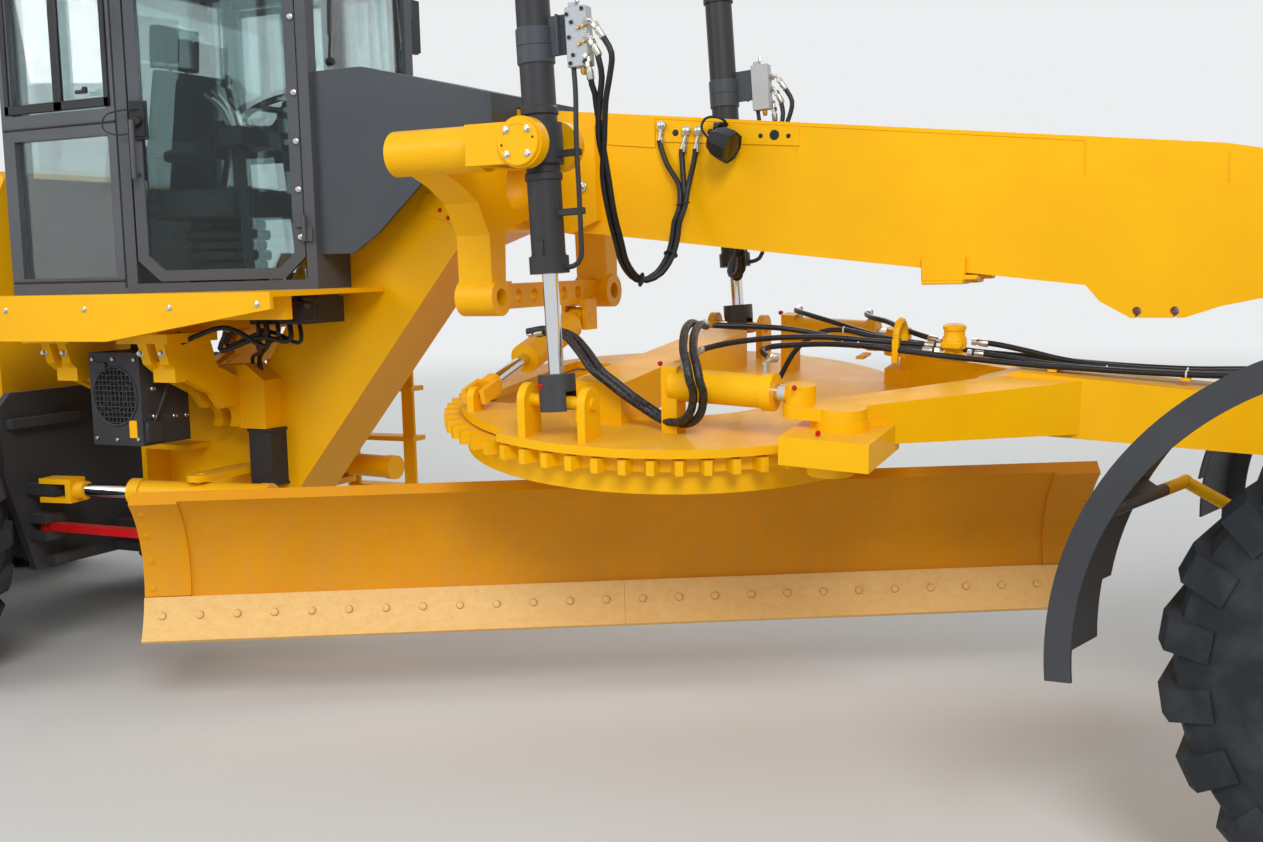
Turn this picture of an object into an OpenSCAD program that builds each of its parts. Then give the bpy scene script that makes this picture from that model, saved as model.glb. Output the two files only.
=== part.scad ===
// Articulated motor grader with six wheels, a tapered cab and a 13 foot blade on a turning circle.
// Millimetres. +X points forward, +Y to the left and +Z up. The tyres stand on z = 0.

/* [Wheels] */
// Outer diameter of a tyre over its lugs
tyre_d = 1350; // [1300:10:1380]
// Width of a tyre over its shoulders
tyre_w = 445; // [420:5:460]
// Diameter of the rim where the tyre's bead sits
rim_d = 635; // [610:5:650]
// Height of a lug above the carcass
lug_h = 36; // [25:1:42]
// Lugs in each of a tyre's two rows
lug_count = 20; // [16:1:22]
// Distance between the middle planes of a left and a right tyre
track = 2155; // [2130:5:2180]
// Front axle to the middle of the tandem
wheelbase = 7000; // [6950:10:7100]
// Distance between the two wheels of a tandem
tandem_pitch = 1538; // [1510:2:1580]

/* [Steering] */
// Kingpin distance from the middle of the machine
kingpin_y = 800; // [785:5:805]
// Angle at which the front wheels stand, seen from above, left is positive
steer_rest = -14; // [-20:1:0]
// Length of a steering arm from kingpin to tie rod
steer_arm = 260; // [240:5:270]
// Radius of the front fenders' outer skin
fender_r = 930; // [900:5:950]
// Width of a front fender
fender_w = 430; // [380:10:440]

/* [Frame] */
// Width of the box beam
beam_w = 300; // [280:5:320]
// Height of the beam's top edge above the saddle
beam_top = 2400; // [2390:5:2420]
// Depth of the beam at the saddle
beam_h = 476; // [460:4:490]
// Articulation hinge, distance behind the front axle
hinge_back = 5500; // [5490:5:5510]
// Foremost point of the machine ahead of the front axle
front_reach = 900; // [880:10:950]
// Rearmost point of the machine behind the tandem's middle
rear_reach = 1780; // [1750:10:1850]
// Width of the engine hood
hood_w = 1050; // [1000:10:1080]
// Height of the hood's front top edge
hood_top = 2320; // [2250:10:2360]

/* [Cab] */
// Width of the cab over its side walls
cab_w = 1500; // [1480:10:1520]
// Width of the cab's narrow front
cab_front_w = 760; // [740:10:780]
// Height of the cab's floor
cab_floor = 1735; // [1730:1:1745]
// Height of the cab's roof
cab_roof = 3350; // [3300:10:3400]
// Thickness of the cab's walls and posts
wall_t = 50; // [40:2:56]
// Thickness of the cab's glass
glass_t = 8; // [6:1:10]

/* [Blade] */
// Length of the moldboard, 13 feet
blade_len = 3962; // [3900:2:4000]
// Height of the moldboard over the cutting edge
blade_h = 600; // [580:5:620]
// Angle of the blade from straight ahead, seen from above
blade_angle = 29.4; // [28:0.2:31]
// Shift of the blade's middle along the blade from the circle's middle
blade_shift = -242; // [-260:2:-200]
// Height of the cutting edge above the ground
edge_z = 310; // [300:5:330]
// Bolts in each of the two cutting edges, which set the bolt pitch
edge_bolts = 13; // [11:1:14]

/* [Drawbar] */
// Height of the drawbar's ball
hitch_z = 1190; // [1180:5:1200]
// Drawbar's ball, distance behind the front axle
hitch_back = 100; // [95:5:110]
// Ball to the middle of the circle
draw_len = 2600; // [2590:5:2610]
// Sideways and endways tilt of the drawbar, about the blade's direction
draw_tilt = 6.87; // [6.5:0.01:7.2]
// Radius of the circle over its teeth
circle_r = 950; // [930:5:960]
// Teeth around the circle
tooth_count = 60; // [54:1:62]
// Outer diameter of a lift cylinder's barrel
lift_d = 120; // [110:2:126]
// Diameter of a lift cylinder's rod
lift_rod_d = 56; // [50:2:60]

/* [Hidden] */
$fn = 64;

YELLOW = [0.96, 0.70, 0.02];
DARK = [0.22, 0.22, 0.23];
BLACK = [0.07, 0.07, 0.07];
CHROME = [0.80, 0.81, 0.82];
EDGE = [0.80, 0.55, 0.16];
GLASS = [0.45, 0.66, 0.68, 0.45];

// The origin lies under the middle of the machine's length
origin_x = (wheelbase + rear_reach - front_reach) / 2;
tyre_r = tyre_d / 2;
wheel_y = track / 2;
hinge_x = -hinge_back;
run = 6; // free play between pieces that slide past each other
seat_gap = 0.3; // play of a piece that rests in its seat

// Draws a flat outline given in X and Z as a plate of thickness w about the plane at y
module side(w, y = 0) {
    translate([0, y + w / 2, 0]) rotate([90, 0, 0]) linear_extrude(w) children();
}

// Draws a flat outline given in Y and Z as a plate of thickness w about the plane at x
module front(w, x = 0) {
    translate([x - w / 2, 0, 0]) rotate([90, 0, 90]) linear_extrude(w) children();
}

// Turns +Z onto the direction v
module aim(v) {
    rotate([0, acos(v.z / norm(v)), atan2(v.y, v.x)]) children();
}

// Round bar of diameter d from p to q
module bar(p, q, d) {
    translate(p) aim(q - p) cylinder(h = norm(q - p), d = d);
}

// Box with its corners at a and b
module box(a, b) {
    translate(a) cube(b - a);
}

// Pin or boss along Y
module ypin(x, y, z, d, w) {
    translate([x, y - w / 2, z]) rotate([-90, 0, 0]) cylinder(h = w, d = d);
}

// Copies a right-hand piece to the left as well
module both() {
    children();
    mirror([0, 1, 0]) children();
}

// Wheels. A wheel is drawn about its own middle with its axle along Y, outer side at +Y.
carcass_r = tyre_r - lug_h;
bead_w = tyre_w - 110;
lug_pitch = 360 / lug_count;
lug_len = 2 * PI * tyre_r / lug_count;

module tyre() {
    r0 = rim_d / 2 + seat_gap;
    h = tyre_w / 2;
    color(BLACK) {
        rotate([90, 0, 0]) rotate_extrude($fn = 96) polygon([
            [r0, -bead_w / 2], [r0 + 30, -bead_w / 2 - 14], [r0 + 110, -h + 8], [r0 + 190, -h + 4],
            [carcass_r - 28, -h + 22], [carcass_r, -h + 70],
            [carcass_r, h - 70], [carcass_r - 28, h - 22], [r0 + 190, h - 4], [r0 + 110, h - 8],
            [r0 + 30, bead_w / 2 + 14], [r0, bead_w / 2]]);
        for (s = [-1, 1], i = [0 : lug_count - 1])
            rotate([0, (i + (s > 0 ? 0.5 : 0)) * lug_pitch, 0]) lug(s);
    }
}

// One slanted lug from the shoulder to just short of the tyre's middle
module lug(s) {
    h = tyre_w / 2;
    root_r = carcass_r - 12;
    intersection() {
        translate([0, 0, root_r - 110]) linear_extrude(tyre_r) polygon([
            [-0.30 * lug_len, s * (h + 2)], [0.14 * lug_len, s * (h + 2)],
            [0.42 * lug_len, s * 16], [0.12 * lug_len, s * 16]]);
        translate([-lug_len / 2, 0, 0]) rotate([90, 0, 90]) linear_extrude(lug_len) polygon([
            [s * 16, root_r], [s * 16, tyre_r - 1], [s * (h - 40), tyre_r - 3],
            [s * (h - 2), tyre_r - 34], [s * (h + 1), carcass_r - 120], [s * (h - 24), carcass_r - 120]]);
    }
}

// Dished steel rim with its hub. dish is the disc's distance from the middle, outward.
module rim(dish = 60) {
    r = rim_d / 2;
    b = bead_w / 2;
    color(YELLOW) difference() {
        union() {
            rotate([90, 0, 0]) rotate_extrude($fn = 96) polygon([
                [r - 14, -b + 8], [r + 14, -b - 22], [r + 14, -b - 10], [r, -b], [r, b], [r + 14, b + 10],
                [r + 14, b + 22], [r - 14, b - 8]]);
            translate([0, dish, 0]) rotate([90, 0, 0]) cylinder(h = 22, r = r - 6, center = true);
            ypin(0, dish + 30, 0, 300, 60);
            ypin(0, dish + 80, 0, 190, 60);
        }
        for (i = [0 : 7]) rotate([0, i * 45, 0]) ypin(235, dish, 0, 54, 60);
    }
}

// Puts a wheel drawn with its outer side at +Y onto the right (s = -1) or left (s = 1) side
module outward(s) {
    mirror([0, s < 0 ? 1 : 0, 0]) children();
}

// Place of a tandem wheel: s is the side, e is 1 for the front one and -1 for the back one
module at_tandem(s, e) {
    translate([-wheelbase + e * tandem_pitch / 2, s * wheel_y, tyre_r]) outward(s) children();
}

// Frame of a steered knuckle: its kingpin is the origin, +Y points outward along the spindle
module at_knuckle(s) {
    translate([0, s * kingpin_y, tyre_r]) rotate([0, 0, steer_rest]) outward(s) children();
}

// Rear frame
rail_y = 330;
rail_w = 100;
rail_low = 850;
rail_high = 1130;
head_x = hinge_x - 250; // front face of the articulation head
head_t = 40;
head_low = 450;
head_high = 1290;
pin_d = 90;
lug_r = 130;
lug_zs = [500, 1190]; // lower edges of the front frame's two hinge plates
plate_t = 60;
rear_x = -wheelbase - rear_reach;
clevis_x = -5600; // rear pins of the articulation cylinders
clevis_y = 600;
bend_z = 840;

module rear_frame() {
    color(DARK) {
        both() box([rear_x + 150, rail_y, rail_low], [head_x, rail_y + rail_w, rail_high]);
        front(head_t, head_x - head_t / 2) head_outline();
        box([head_x - 230, -560, head_low + 40], [head_x - head_t, 560, head_high - 40]);
        both() {
            // shelf bars above and below on the head's face
            box([head_x, 330, 1130], [head_x + 50, 730, 1172]);
            box([head_x, 300, head_low + 20], [head_x + 60, 560, head_low + 60]);
            // lug of the articulation cylinder and bracket of the lock bar
            box([clevis_x - 155, clevis_y - 45, bend_z - 25], [clevis_x + 40, clevis_y + 45, bend_z + 25]);
        }
        box([head_x, -640, 600], [head_x + 110, -520, 640]);
        box([head_x, -640, 680], [head_x + 110, -520, 720]);
        bar([head_x + 60, -580, 630], [head_x + 60, -580, 690], 44);
        hinge_fork();
        // tow beam at the back
        box([rear_x + 150, -1080, 720], [rear_x + 260, 1080, 1130]);
        // cross members under the engine
        for (x = [-wheelbase - 900, -wheelbase + 500])
            box([x, -rail_y, rail_low + 30], [x + 120, rail_y, rail_low + 200]);
    }
}

module head_outline() {
    polygon([[-750, head_high - 60], [-690, head_high], [690, head_high], [750, head_high - 60], [750, 900],
        [610, head_low], [-610, head_low], [-750, 900]]);
}

// Ears above and below each of the front frame's hinge plates, with the two hinge pins
module hinge_fork() {
    for (z = lug_zs) {
        for (w = [z - run - 40, z + plate_t + run]) translate([0, 0, w]) linear_extrude(40) {
            translate([hinge_x, 0]) circle(r = lug_r);
            translate([head_x, -lug_r]) square([hinge_x - head_x, 2 * lug_r]);
        }
        translate([hinge_x, 0, z - run - 60]) cylinder(h = plate_t + 2 * run + 120, d = pin_d);
    }
}

// Two plates with a pin hole, on a foot that is bolted to the tow beam
module tow_jaw() {
    foot = rear_x + 150 - seat_gap;
    color(DARK) {
        for (z = [820, 960]) translate([0, 0, z]) linear_extrude(50) difference() {
            union() {
                translate([rear_x + 60, 0]) circle(r = 60);
                translate([rear_x + 60, -60]) square([foot - rear_x - 60, 120]);
            }
            translate([rear_x + 60, 0]) circle(d = 44);
        }
        box([foot - 24, -110, 780], [foot, 110, 1050]);
    }
}

hood_front = -6000;
hood_back = -wheelbase - 1600;
hood_low = rail_high + 20;
sheet = 24;

// Solid form of the hood, drawn in by d all over
module hood_form(d = 0) {
    intersection() {
        side(hood_w - 2 * d) polygon([
            [hood_front - d, hood_low - (d > 0 ? 5 : 0)], [hood_front - d, hood_top - 40 - d],
            [hood_front - 60 - d, hood_top - d], [hood_back + 500, hood_top - 170 - d],
            [hood_back + 120, hood_top - 270 - d], [hood_back + d, hood_top - 420 - d],
            [hood_back + d, hood_low - (d > 0 ? 5 : 0)]]);
        front(9000, hood_front) polygon([
            [-hood_w / 2 + d, 0], [-hood_w / 2 + d, hood_top - 230], [-hood_w / 2 + 120 + d, hood_top - d],
            [hood_w / 2 - 120 - d, hood_top - d], [hood_w / 2 - d, hood_top - 230], [hood_w / 2 - d, 0]]);
    }
}

exhaust_x = -wheelbase - 100;
exhaust_y = 230;
exhaust_d = 130;
engine_top = 1900;

module hood() {
    color(YELLOW) {
        difference() {
            hood_form();
            hood_form(sheet);
            translate([exhaust_x, exhaust_y, engine_top]) cylinder(h = 900, d = exhaust_d + 2 * run);
            // louvres through both sides
            for (x = [hood_back + 420, hood_back + 1020], i = [0 : 8])
                box([x, -hood_w, 1330 + i * 62], [x + 480, hood_w, 1358 + i * 62]);
            // radiator openings in the back
            for (y = [-400 : 100 : 320])
                box([hood_back - 50, y, hood_low + 120], [hood_back + sheet + 5, y + 76, hood_low + 620]);
        }
        // feet on the rails
        both() for (x = [hood_front - 200, hood_back + 200])
            box([x - 60, rail_y + rail_w, rail_high - 60], [x + 60, hood_w / 2, rail_high]);
        both() for (x = [hood_front - 200, hood_back + 200])
            box([x - 60, hood_w / 2 - sheet, rail_high], [x + 60, hood_w / 2, hood_low + 40]);
    }
}

module engine_block() {
    color(DARK) box([-wheelbase - 700, -rail_y - rail_w + 20, rail_high],
        [-wheelbase + 500, rail_y + rail_w - 20, engine_top]);
}

module exhaust() {
    color(DARK) difference() {
        union() {
            translate([exhaust_x, exhaust_y, engine_top]) cylinder(h = 1150, d = exhaust_d);
            translate([exhaust_x, exhaust_y, engine_top + 60]) cylinder(h = 180, d = 210);
        }
        translate([exhaust_x, exhaust_y, engine_top + 700]) cylinder(h = 600, d = exhaust_d - 16);
        translate([exhaust_x - 200, exhaust_y - 100, engine_top + 1150])
            rotate([0, 25, 0]) box([0, 0, 0], [500, 200, 300]);
    }
}

case_y = 700; // middle plane of a tandem case
case_w = 180;

module tandem_axle() {
    color(DARK) {
        ypin(-wheelbase, 0, tyre_r, 290, 2 * case_y);
        ypin(-wheelbase, 0, tyre_r, 470, 300);
        both() {
            box([-wheelbase - 170, rail_y, tyre_r + 100], [-wheelbase + 170, rail_y + rail_w, rail_low]);
            side(case_w, case_y) {
                translate([-wheelbase - tandem_pitch / 2, tyre_r]) circle(r = 190);
                translate([-wheelbase + tandem_pitch / 2, tyre_r]) circle(r = 190);
                translate([-wheelbase - tandem_pitch / 2, tyre_r - 190]) square([tandem_pitch, 380]);
                translate([-wheelbase, tyre_r]) circle(r = 250);
            }
            for (e = [-1, 1]) {
                ypin(-wheelbase + e * tandem_pitch / 2, (case_y + hub_y) / 2, tyre_r, 150, hub_y - case_y);
                ypin(-wheelbase + e * tandem_pitch / 2, case_y + case_w / 2 + 20, tyre_r, 260, 40);
            }
        }
    }
}
rim_dish = 60;
hub_y = wheel_y + rim_dish - 11 - seat_gap; // where the rear stub axles end, at the rim's disc

// The red bar that locks the machine straight lies on its rear pin, free in front
module lock_bar() {
    color([0.75, 0.05, 0.05]) translate([0, 0, 642]) linear_extrude(36) difference() {
        union() {
            translate([head_x + 60, -580]) circle(r = 34);
            translate([head_x + 60, -606]) square([640, 52]);
            translate([head_x + 700, -580]) circle(r = 34);
        }
        translate([head_x + 60, -580]) circle(d = 46);
        translate([head_x + 700, -580]) circle(d = 46);
    }
}

// Front frame
neck_rear = hinge_x + 170;
slope_top = 0.1105; // fall of the beam's upper edge towards the front
slope_low = 0.1237;
beam_x = -2950; // where beam_top is measured
function top_z(x) = beam_top - slope_top * (x - beam_x);
function low_z(x) = beam_top - beam_h - slope_low * (x - beam_x);
frame_low = 440;
frame_high = 1290;
axle_slot = 110; // half the width of the front axle's seat between the bolster's lugs
pivot_z = 720;

module beam_outline() {
    polygon([
        // nose and bolster, forward of the arch over the drawbar
        [-675, top_z(-675)], [120, 1985], [560, 1850], [640, 1700], [640, 1450], [420, 1180],
        [190, 960], [190, 600], [axle_slot, 600], [axle_slot, 870], [-axle_slot, 870], [-axle_slot, 600],
        [-180, 600], [-180, 950], [-80, 1010], [30, 1080], [30, 1290], [-60, 1370], [-190, 1430],
        [-330, 1560], [-450, 1630], [-560, 1645], [-680, 1620],
        // lobe, then the beam's straight lower edge back to the neck
        [-790, 1583], [-960, 1583], [-1060, 1640], [-1107, low_z(-1107)],
        [beam_x, low_z(beam_x)], [-3250, 1955], [-3450, 1950], [-3650, 1882],
        [-4510, 874], [-4640, 720], [-4800, 520], [-4900, frame_low], [neck_rear, frame_low],
        [neck_rear, frame_high], [-4880, frame_high], [-4690, 1402], [-4390, 1849],
        [-4000, 2200], [-3600, 2400], [-3350, 2444]]);
}

module front_frame() {
    color(YELLOW) {
        difference() {
            union() {
                side(beam_w) beam_outline();
                // cheeks that widen the bolster round the axle pivot
                side(beam_w + 160) polygon([[-180, 600], [-axle_slot, 600], [-axle_slot, 870],
                    [axle_slot, 870], [axle_slot, 600], [190, 600], [190, 960], [-180, 950]]);
                box([640, -beam_w / 2 - 60, 1330], [front_reach - 120, beam_w / 2 + 60, 1640]);
                box([front_reach - 120, -540, 1300], [front_reach, 540, 1660]);
                end_plate();
                hinge_plates();
                both() bend_bracket();
                both() for (x = mount_xs) cab_mount(x, x < neck_rear ? 200 : beam_w / 2 - 20);
                neck_arch();
            }
            // two keyholes in the lobe
            for (x = [-940, -820]) side(beam_w + 20) {
                translate([x, 1606]) circle(r = 15);
                translate([x - 6, 1560]) square([12, 46]);
            }
            for (z = lug_zs) translate([hinge_x, 0, z - 10]) cylinder(h = plate_t + 20, d = pin_d + 0.1);
            pivot_bore();
        }
        // stud that carries the drawbar's ball
        bar([40, 0, hitch_z], [-hitch_back + ball_flat + seat_gap, 0, hitch_z], 60);
    }
}

ball_r = 58;
ball_flat = 36; // flat on the front of the ball, from its middle

module pivot_bore() {
    translate([-300, 0, pivot_z]) rotate([0, 90, 0]) cylinder(h = 600, d = 90.1);
}

module end_plate() {
    box([neck_rear - 30, -300, frame_low], [neck_rear, 300, frame_high]);
    for (z = [frame_low, 640, 1000]) box([neck_rear - 30, -300, z], [neck_rear + 260, 300, z + 24]);
}

module hinge_plates() {
    for (z = lug_zs) translate([0, 0, z]) linear_extrude(plate_t) {
        translate([hinge_x, 0]) circle(r = lug_r);
        translate([hinge_x, -lug_r]) square([neck_rear - hinge_x, 2 * lug_r]);
    }
}

bend_x = -4810; // trunnion of an articulation cylinder
bend_y = 500;
bend_d = 110;
trunnion_d = 50;

module bend_bracket() {
    gap = bend_d / 2 + run;
    difference() {
        for (z = [bend_z - gap - 30, bend_z + gap]) {
            box([bend_x - 60, beam_w / 2 - 20, z], [bend_x + 60, bend_y, z + 30]);
            translate([bend_x, bend_y, z]) cylinder(h = 30, r = 60);
        }
        translate([bend_x, bend_y, bend_z - 200]) cylinder(h = 400, d = trunnion_d + 0.1);
    }
    box([bend_x - 60, beam_w / 2 - 20, bend_z - gap - 30], [bend_x + 60, beam_w / 2 + 25,
        bend_z + gap + 30]);
}

platform_low = 1560; // underside of the platform's cross members
mount_xs = [-5430, -4850];

// Cast bracket that carries the platform on the lower frame, from the distance y outward
module cab_mount(x, y) {
    for (dx = [-40, 60]) front(50, x + dx) difference() {
        polygon([[y, 1120], [y, 1230 + y * 0.4], [400, 1400], [440, platform_low - 30],
            [720, platform_low - 30], [690, 1430], [600, 1360], [430, 1280], [300, 1120]]);
        translate([340, 1160]) circle(r = 60);
    }
    box([x - 170, 430, platform_low - 40], [x + 120, 730, platform_low]);
    box([x - 40, 600, 1350], [x + 85, 660, 1440]);
}

// Arched web from the front mount down to the neck's side
module neck_arch() {
    both() side(130, beam_w / 2 + 60) difference() {
        polygon([[-4960, 1390], [-4720, 1400], [-4620, 1330], [-4620, 1110], [-4790, 1110], [-4960, 1220]]);
        translate([-4930, 1110]) circle(r = 150);
    }
}

// Cab. A wall's own frame runs along it from its rear end, with Y across it and inward.
cab_rear = -5600;
door_rear = -4910;
cab_front = -4200;
corner_a = [cab_rear, -cab_w / 2];
corner_b = [door_rear, -cab_w / 2];
corner_c = [cab_front, -cab_front_w / 2];
door_len = norm(corner_c - corner_b);
side_len = door_rear - cab_rear;
post = 42;
sill = 40;
head_z = cab_roof - 120;

module in_wall(p, q) {
    translate([p.x, p.y, 0]) rotate([0, 0, atan2(q.y - p.y, q.x - p.x)]) children();
}

module cab_plan(d = 0) {
    polygon([[cab_rear + d, -cab_w / 2 + d], [door_rear - d * 0.25, -cab_w / 2 + d],
        [cab_front - d, -cab_front_w / 2 + d * 0.62], [cab_front - d, cab_front_w / 2 - d * 0.62],
        [door_rear - d * 0.25, cab_w / 2 - d], [cab_rear + d, cab_w / 2 - d]]);
}

// Window openings in the side wall: low edge and high edge
side_panes = [[cab_floor + 70, 2400], [2510, head_z - 50]];
pane_u = [70, side_len - 60];
screen_y = cab_front_w / 2 - 55;
screen_z = [2420, head_z - 50];
back_y = cab_w / 2 - 110;
back_z = [2250, head_z - 50];

module cab_frame() {
    color(DARK) {
        difference() {
            translate([0, 0, cab_floor]) linear_extrude(head_z - cab_floor) difference() {
                cab_plan();
                cab_plan(wall_t);
            }
            both() in_wall(corner_a, corner_b) for (p = side_panes)
                box([pane_u[0], -20, p[0]], [pane_u[1], wall_t + 20, p[1]]);
            both() in_wall(corner_b, corner_c)
                box([post, -40, cab_floor + sill], [door_len - post, wall_t + 60, head_z - 30]);
            box([cab_front - wall_t - 20, -screen_y, screen_z[0]], [cab_front + 20, screen_y, screen_z[1]]);
            box([cab_rear - 20, -back_y, back_z[0]], [cab_rear + wall_t + 20, back_y, back_z[1]]);
            // the neck comes in below the windscreen
            box([cab_front - wall_t - 20, -beam_w / 2 - run, cab_floor - 10],
                [cab_front + 20, beam_w / 2 + run, 2050]);
        }
        // roof with an overhang all round
        translate([0, 0, head_z]) linear_extrude(cab_roof - head_z - 40) cab_plan(-60);
        translate([0, 0, cab_roof - 40]) linear_extrude(40) cab_plan(20);
        both() in_wall(corner_b, corner_c) for (z = hinge_zs) {
            translate([door_len - post - 3, -14, z - 60]) cylinder(h = 60 - seat_gap, d = 22);
            box([door_len - post - 3, -14, z - 60], [door_len - post + 30, 4, z - seat_gap]);
        }
    }
}
hinge_zs = [cab_floor + 260, head_z - 200];

module pane(u0, u1, z0, z1, y = wall_t / 2) {
    box([u0 + seat_gap, y - glass_t / 2, z0 + seat_gap], [u1 - seat_gap, y + glass_t / 2, z1 - seat_gap]);
}

module cab_glass() {
    color(GLASS) {
        both() in_wall(corner_a, corner_b) for (p = side_panes) pane(pane_u[0], pane_u[1], p[0], p[1]);
        translate([cab_front, 0, 0]) rotate([0, 0, 90]) pane(-screen_y, screen_y, screen_z[0], screen_z[1]);
        translate([cab_rear + wall_t, 0, 0]) rotate([0, 0, 90]) pane(-back_y, back_y, back_z[0], back_z[1]);
    }
}

door_gap = 7;
door_u = [post + door_gap, door_len - post - door_gap];
door_z = [cab_floor + sill + door_gap, head_z - 30 - door_gap];
stile = 46;

// Outline of a door, drawn in by d, with its lower corners cut off
module door_outline(d = 0) {
    c = 90 - d * 0.6;
    polygon([[door_u[0] + d, door_z[1] - d], [door_u[1] - d, door_z[1] - d],
        [door_u[1] - d, door_z[0] + c + d],
        [door_u[1] - d - c, door_z[0] + d], [door_u[0] + d + c, door_z[0] + d],
            [door_u[0] + d, door_z[0] + c + d]]);
}

module door_frame_right() {
    color(DARK) in_wall(corner_b, corner_c) {
        side(wall_t - 6, wall_t / 2) difference() {
            door_outline();
            door_outline(stile);
        }
        for (z = hinge_zs) {
            translate([door_len - post - 3, -14, z]) cylinder(h = 50, d = 22);
            box([door_u[1] - 30, -14, z], [door_len - post - 3, 4, z + 50]);
        }
        // grab handle at the rear edge
        bar([door_u[0] + 24, 8, 2230], [door_u[0] + 24, -50, 2230], 20);
        bar([door_u[0] + 24, 8, 2430], [door_u[0] + 24, -50, 2430], 20);
        bar([door_u[0] + 24, -50, 2210], [door_u[0] + 24, -50, 2450], 22);
    }
}

module door_glass_right() {
    color(GLASS) in_wall(corner_b, corner_c) side(glass_t, wall_t / 2) door_outline(stile + seat_gap);
}

module door_frame_left() {
    mirror([0, 1, 0]) door_frame_right();
}

module door_glass_left() {
    mirror([0, 1, 0]) door_glass_right();
}

skirt_y = 900;
platform_front = -4020;
platform_rear = -5650;
tunnel_x = -4540; // rear end of the slot in the floor that the neck rises through
tunnel_w = beam_w + 40;

module cab_platform() {
    top = cab_floor - seat_gap;
    color(YELLOW) {
        difference() {
            box([platform_rear, -skirt_y, top - 20], [platform_front, skirt_y, top]);
            box([tunnel_x, -tunnel_w / 2, 1000], [platform_front + 10, tunnel_w / 2, 2000]);
        }
        both() side(20, skirt_y - 10) polygon([[platform_rear, 1540], [-4900, 1540], [platform_front, 1668],
            [platform_front, top], [platform_rear, top]]);
        for (x = mount_xs) box([x - 60, -skirt_y + 20, platform_low + seat_gap],
            [x + 60, skirt_y - 20, top - 20]);
        both() box([platform_rear, 700, platform_low + 60], [platform_front - 60, 740, top - 20]);
    }
    // ladder on the left
    color(DARK) {
        for (x = [-5010, -4650]) {
            box([x, 800, 640], [x + 70, 816, 1600]);
            box([x, 740, 1580], [x + 70, 816, 1640]);
        }
        for (z = [660, 920, 1180]) box([-5010, 790, z], [-4580, 900, z + 24]);
    }
}

cover_w = 700;
cover_t = 16;

module cover_outline(d = 0) {
    polygon([[cab_front + seat_gap, 1880 - d], [cab_front + seat_gap, 2640 - d], [-3950, 2640 - d],
        [-3330 - d, 2490 - d], [-3330 - d, 2340 - d], [-3560, 2250 - d], [-3900, 1960 - d],
            [-4030, 1880 - d]]);
}

module neck_cover() {
    color(DARK) {
        difference() {
            side(cover_w) cover_outline();
            side(cover_w - 2 * cover_t) cover_outline(cover_t);
            side(beam_w + 2 * run) translate([0, run]) beam_outline();
            box([cab_front - 50, -cover_w / 2 + cover_t, 1700],
                [cab_front + 30, cover_w / 2 - cover_t, 2640 - cover_t]);
        }
    }
}

module seat() {
    color(BLACK) {
        box([-5180, -170, cab_floor + seat_gap], [-4860, 170, cab_floor + 330]);
        box([-5260, -250, cab_floor + 330], [-4760, 250, cab_floor + 450]);
        side(480) polygon([[-5250, cab_floor + 450], [-5130, cab_floor + 450], [-5220, cab_floor + 1020],
            [-5330, cab_floor + 1020]]);
        side(260) polygon([[-5330, cab_floor + 1030], [-5240, cab_floor + 1030], [-5250, cab_floor + 1240],
            [-5340, cab_floor + 1240]]);
        both() box([-5200, 260, cab_floor + 600], [-4850, 330, cab_floor + 660]);
        both() box([-5180, 240, cab_floor + 440], [-5120, 300, cab_floor + 610]);
        side(100) polygon([[-5310, cab_floor + 1000], [-5260, cab_floor + 1000], [-5270, cab_floor + 1050],
            [-5320, cab_floor + 1050]]);
    }
}

wheel_hub = [-4640, 0, cab_floor + 800];

module controls() {
    color(BLACK) {
        translate([-4560, 0, cab_floor + seat_gap]) cylinder(h = 30, d = 120);
        bar([-4560, 0, cab_floor + 20], wheel_hub, 90);
        translate(wheel_hub) aim([-0.35, 0, 1]) {
            rotate_extrude() translate([200, 0]) circle(d = 30);
            for (a = [90 : 120 : 330]) rotate([0, 0, a]) translate([0, -14, -8]) cube([200, 28, 16]);
            cylinder(h = 30, d = 90, center = true);
        }
        both() {
            box([-4700, 240, cab_floor + 620], [-4540, 420, cab_floor + 700]);
            translate([-4600, 330, cab_floor + seat_gap]) cylinder(h = 20, d = 90);
            bar([-4600, 330, cab_floor + 12], [-4620, 330, cab_floor + 640], 60);
            for (i = [0 : 3]) {
                foot = [-4660 + 35 * i, 270 + 42 * i, cab_floor + 690];
                bar(foot, foot + [-50, 0, 190], 14);
                translate(foot + [-50, 0, 200]) sphere(r = 22);
            }
        }
    }
}

cooler = [[-5225, -700, 1075], [-4930, -420, 1480]];

module cooler_box() {
    color(DARK) {
        difference() {
            box(cooler[0], cooler[1]);
            translate([-5080, -700, 1290]) rotate([90, 0, 0]) cylinder(h = 24, r = 125, center = true);
        }
        for (i = [-5 : 5]) {
            h = sqrt(125 * 125 - 23 * 23 * i * i);
            box([-5080 - h, -702, 1288 + 23 * i], [-5080 + h, -688, 1292 + 23 * i]);
            box([-5082 + 23 * i, -702, 1290 - h], [-5078 + 23 * i, -688, 1290 + h]);
        }
        // hangers up to the cross member
        for (x = [-5200, -5070]) box([x, -480, 1480], [x + 40, -460, cab_floor - seat_gap - 20]);
        box([-4735, -beam_w / 2 - 110, 850], [-4610, -beam_w / 2 - seat_gap, 1104]);
        // valve block under the cab's front, with its mounting rail
        box([-4480, -500, 1590], [-4180, -240, 1700]);
        box([-4500, -440, 1700], [-4160, -300, cab_floor - seat_gap - 20]);
    }
}

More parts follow.
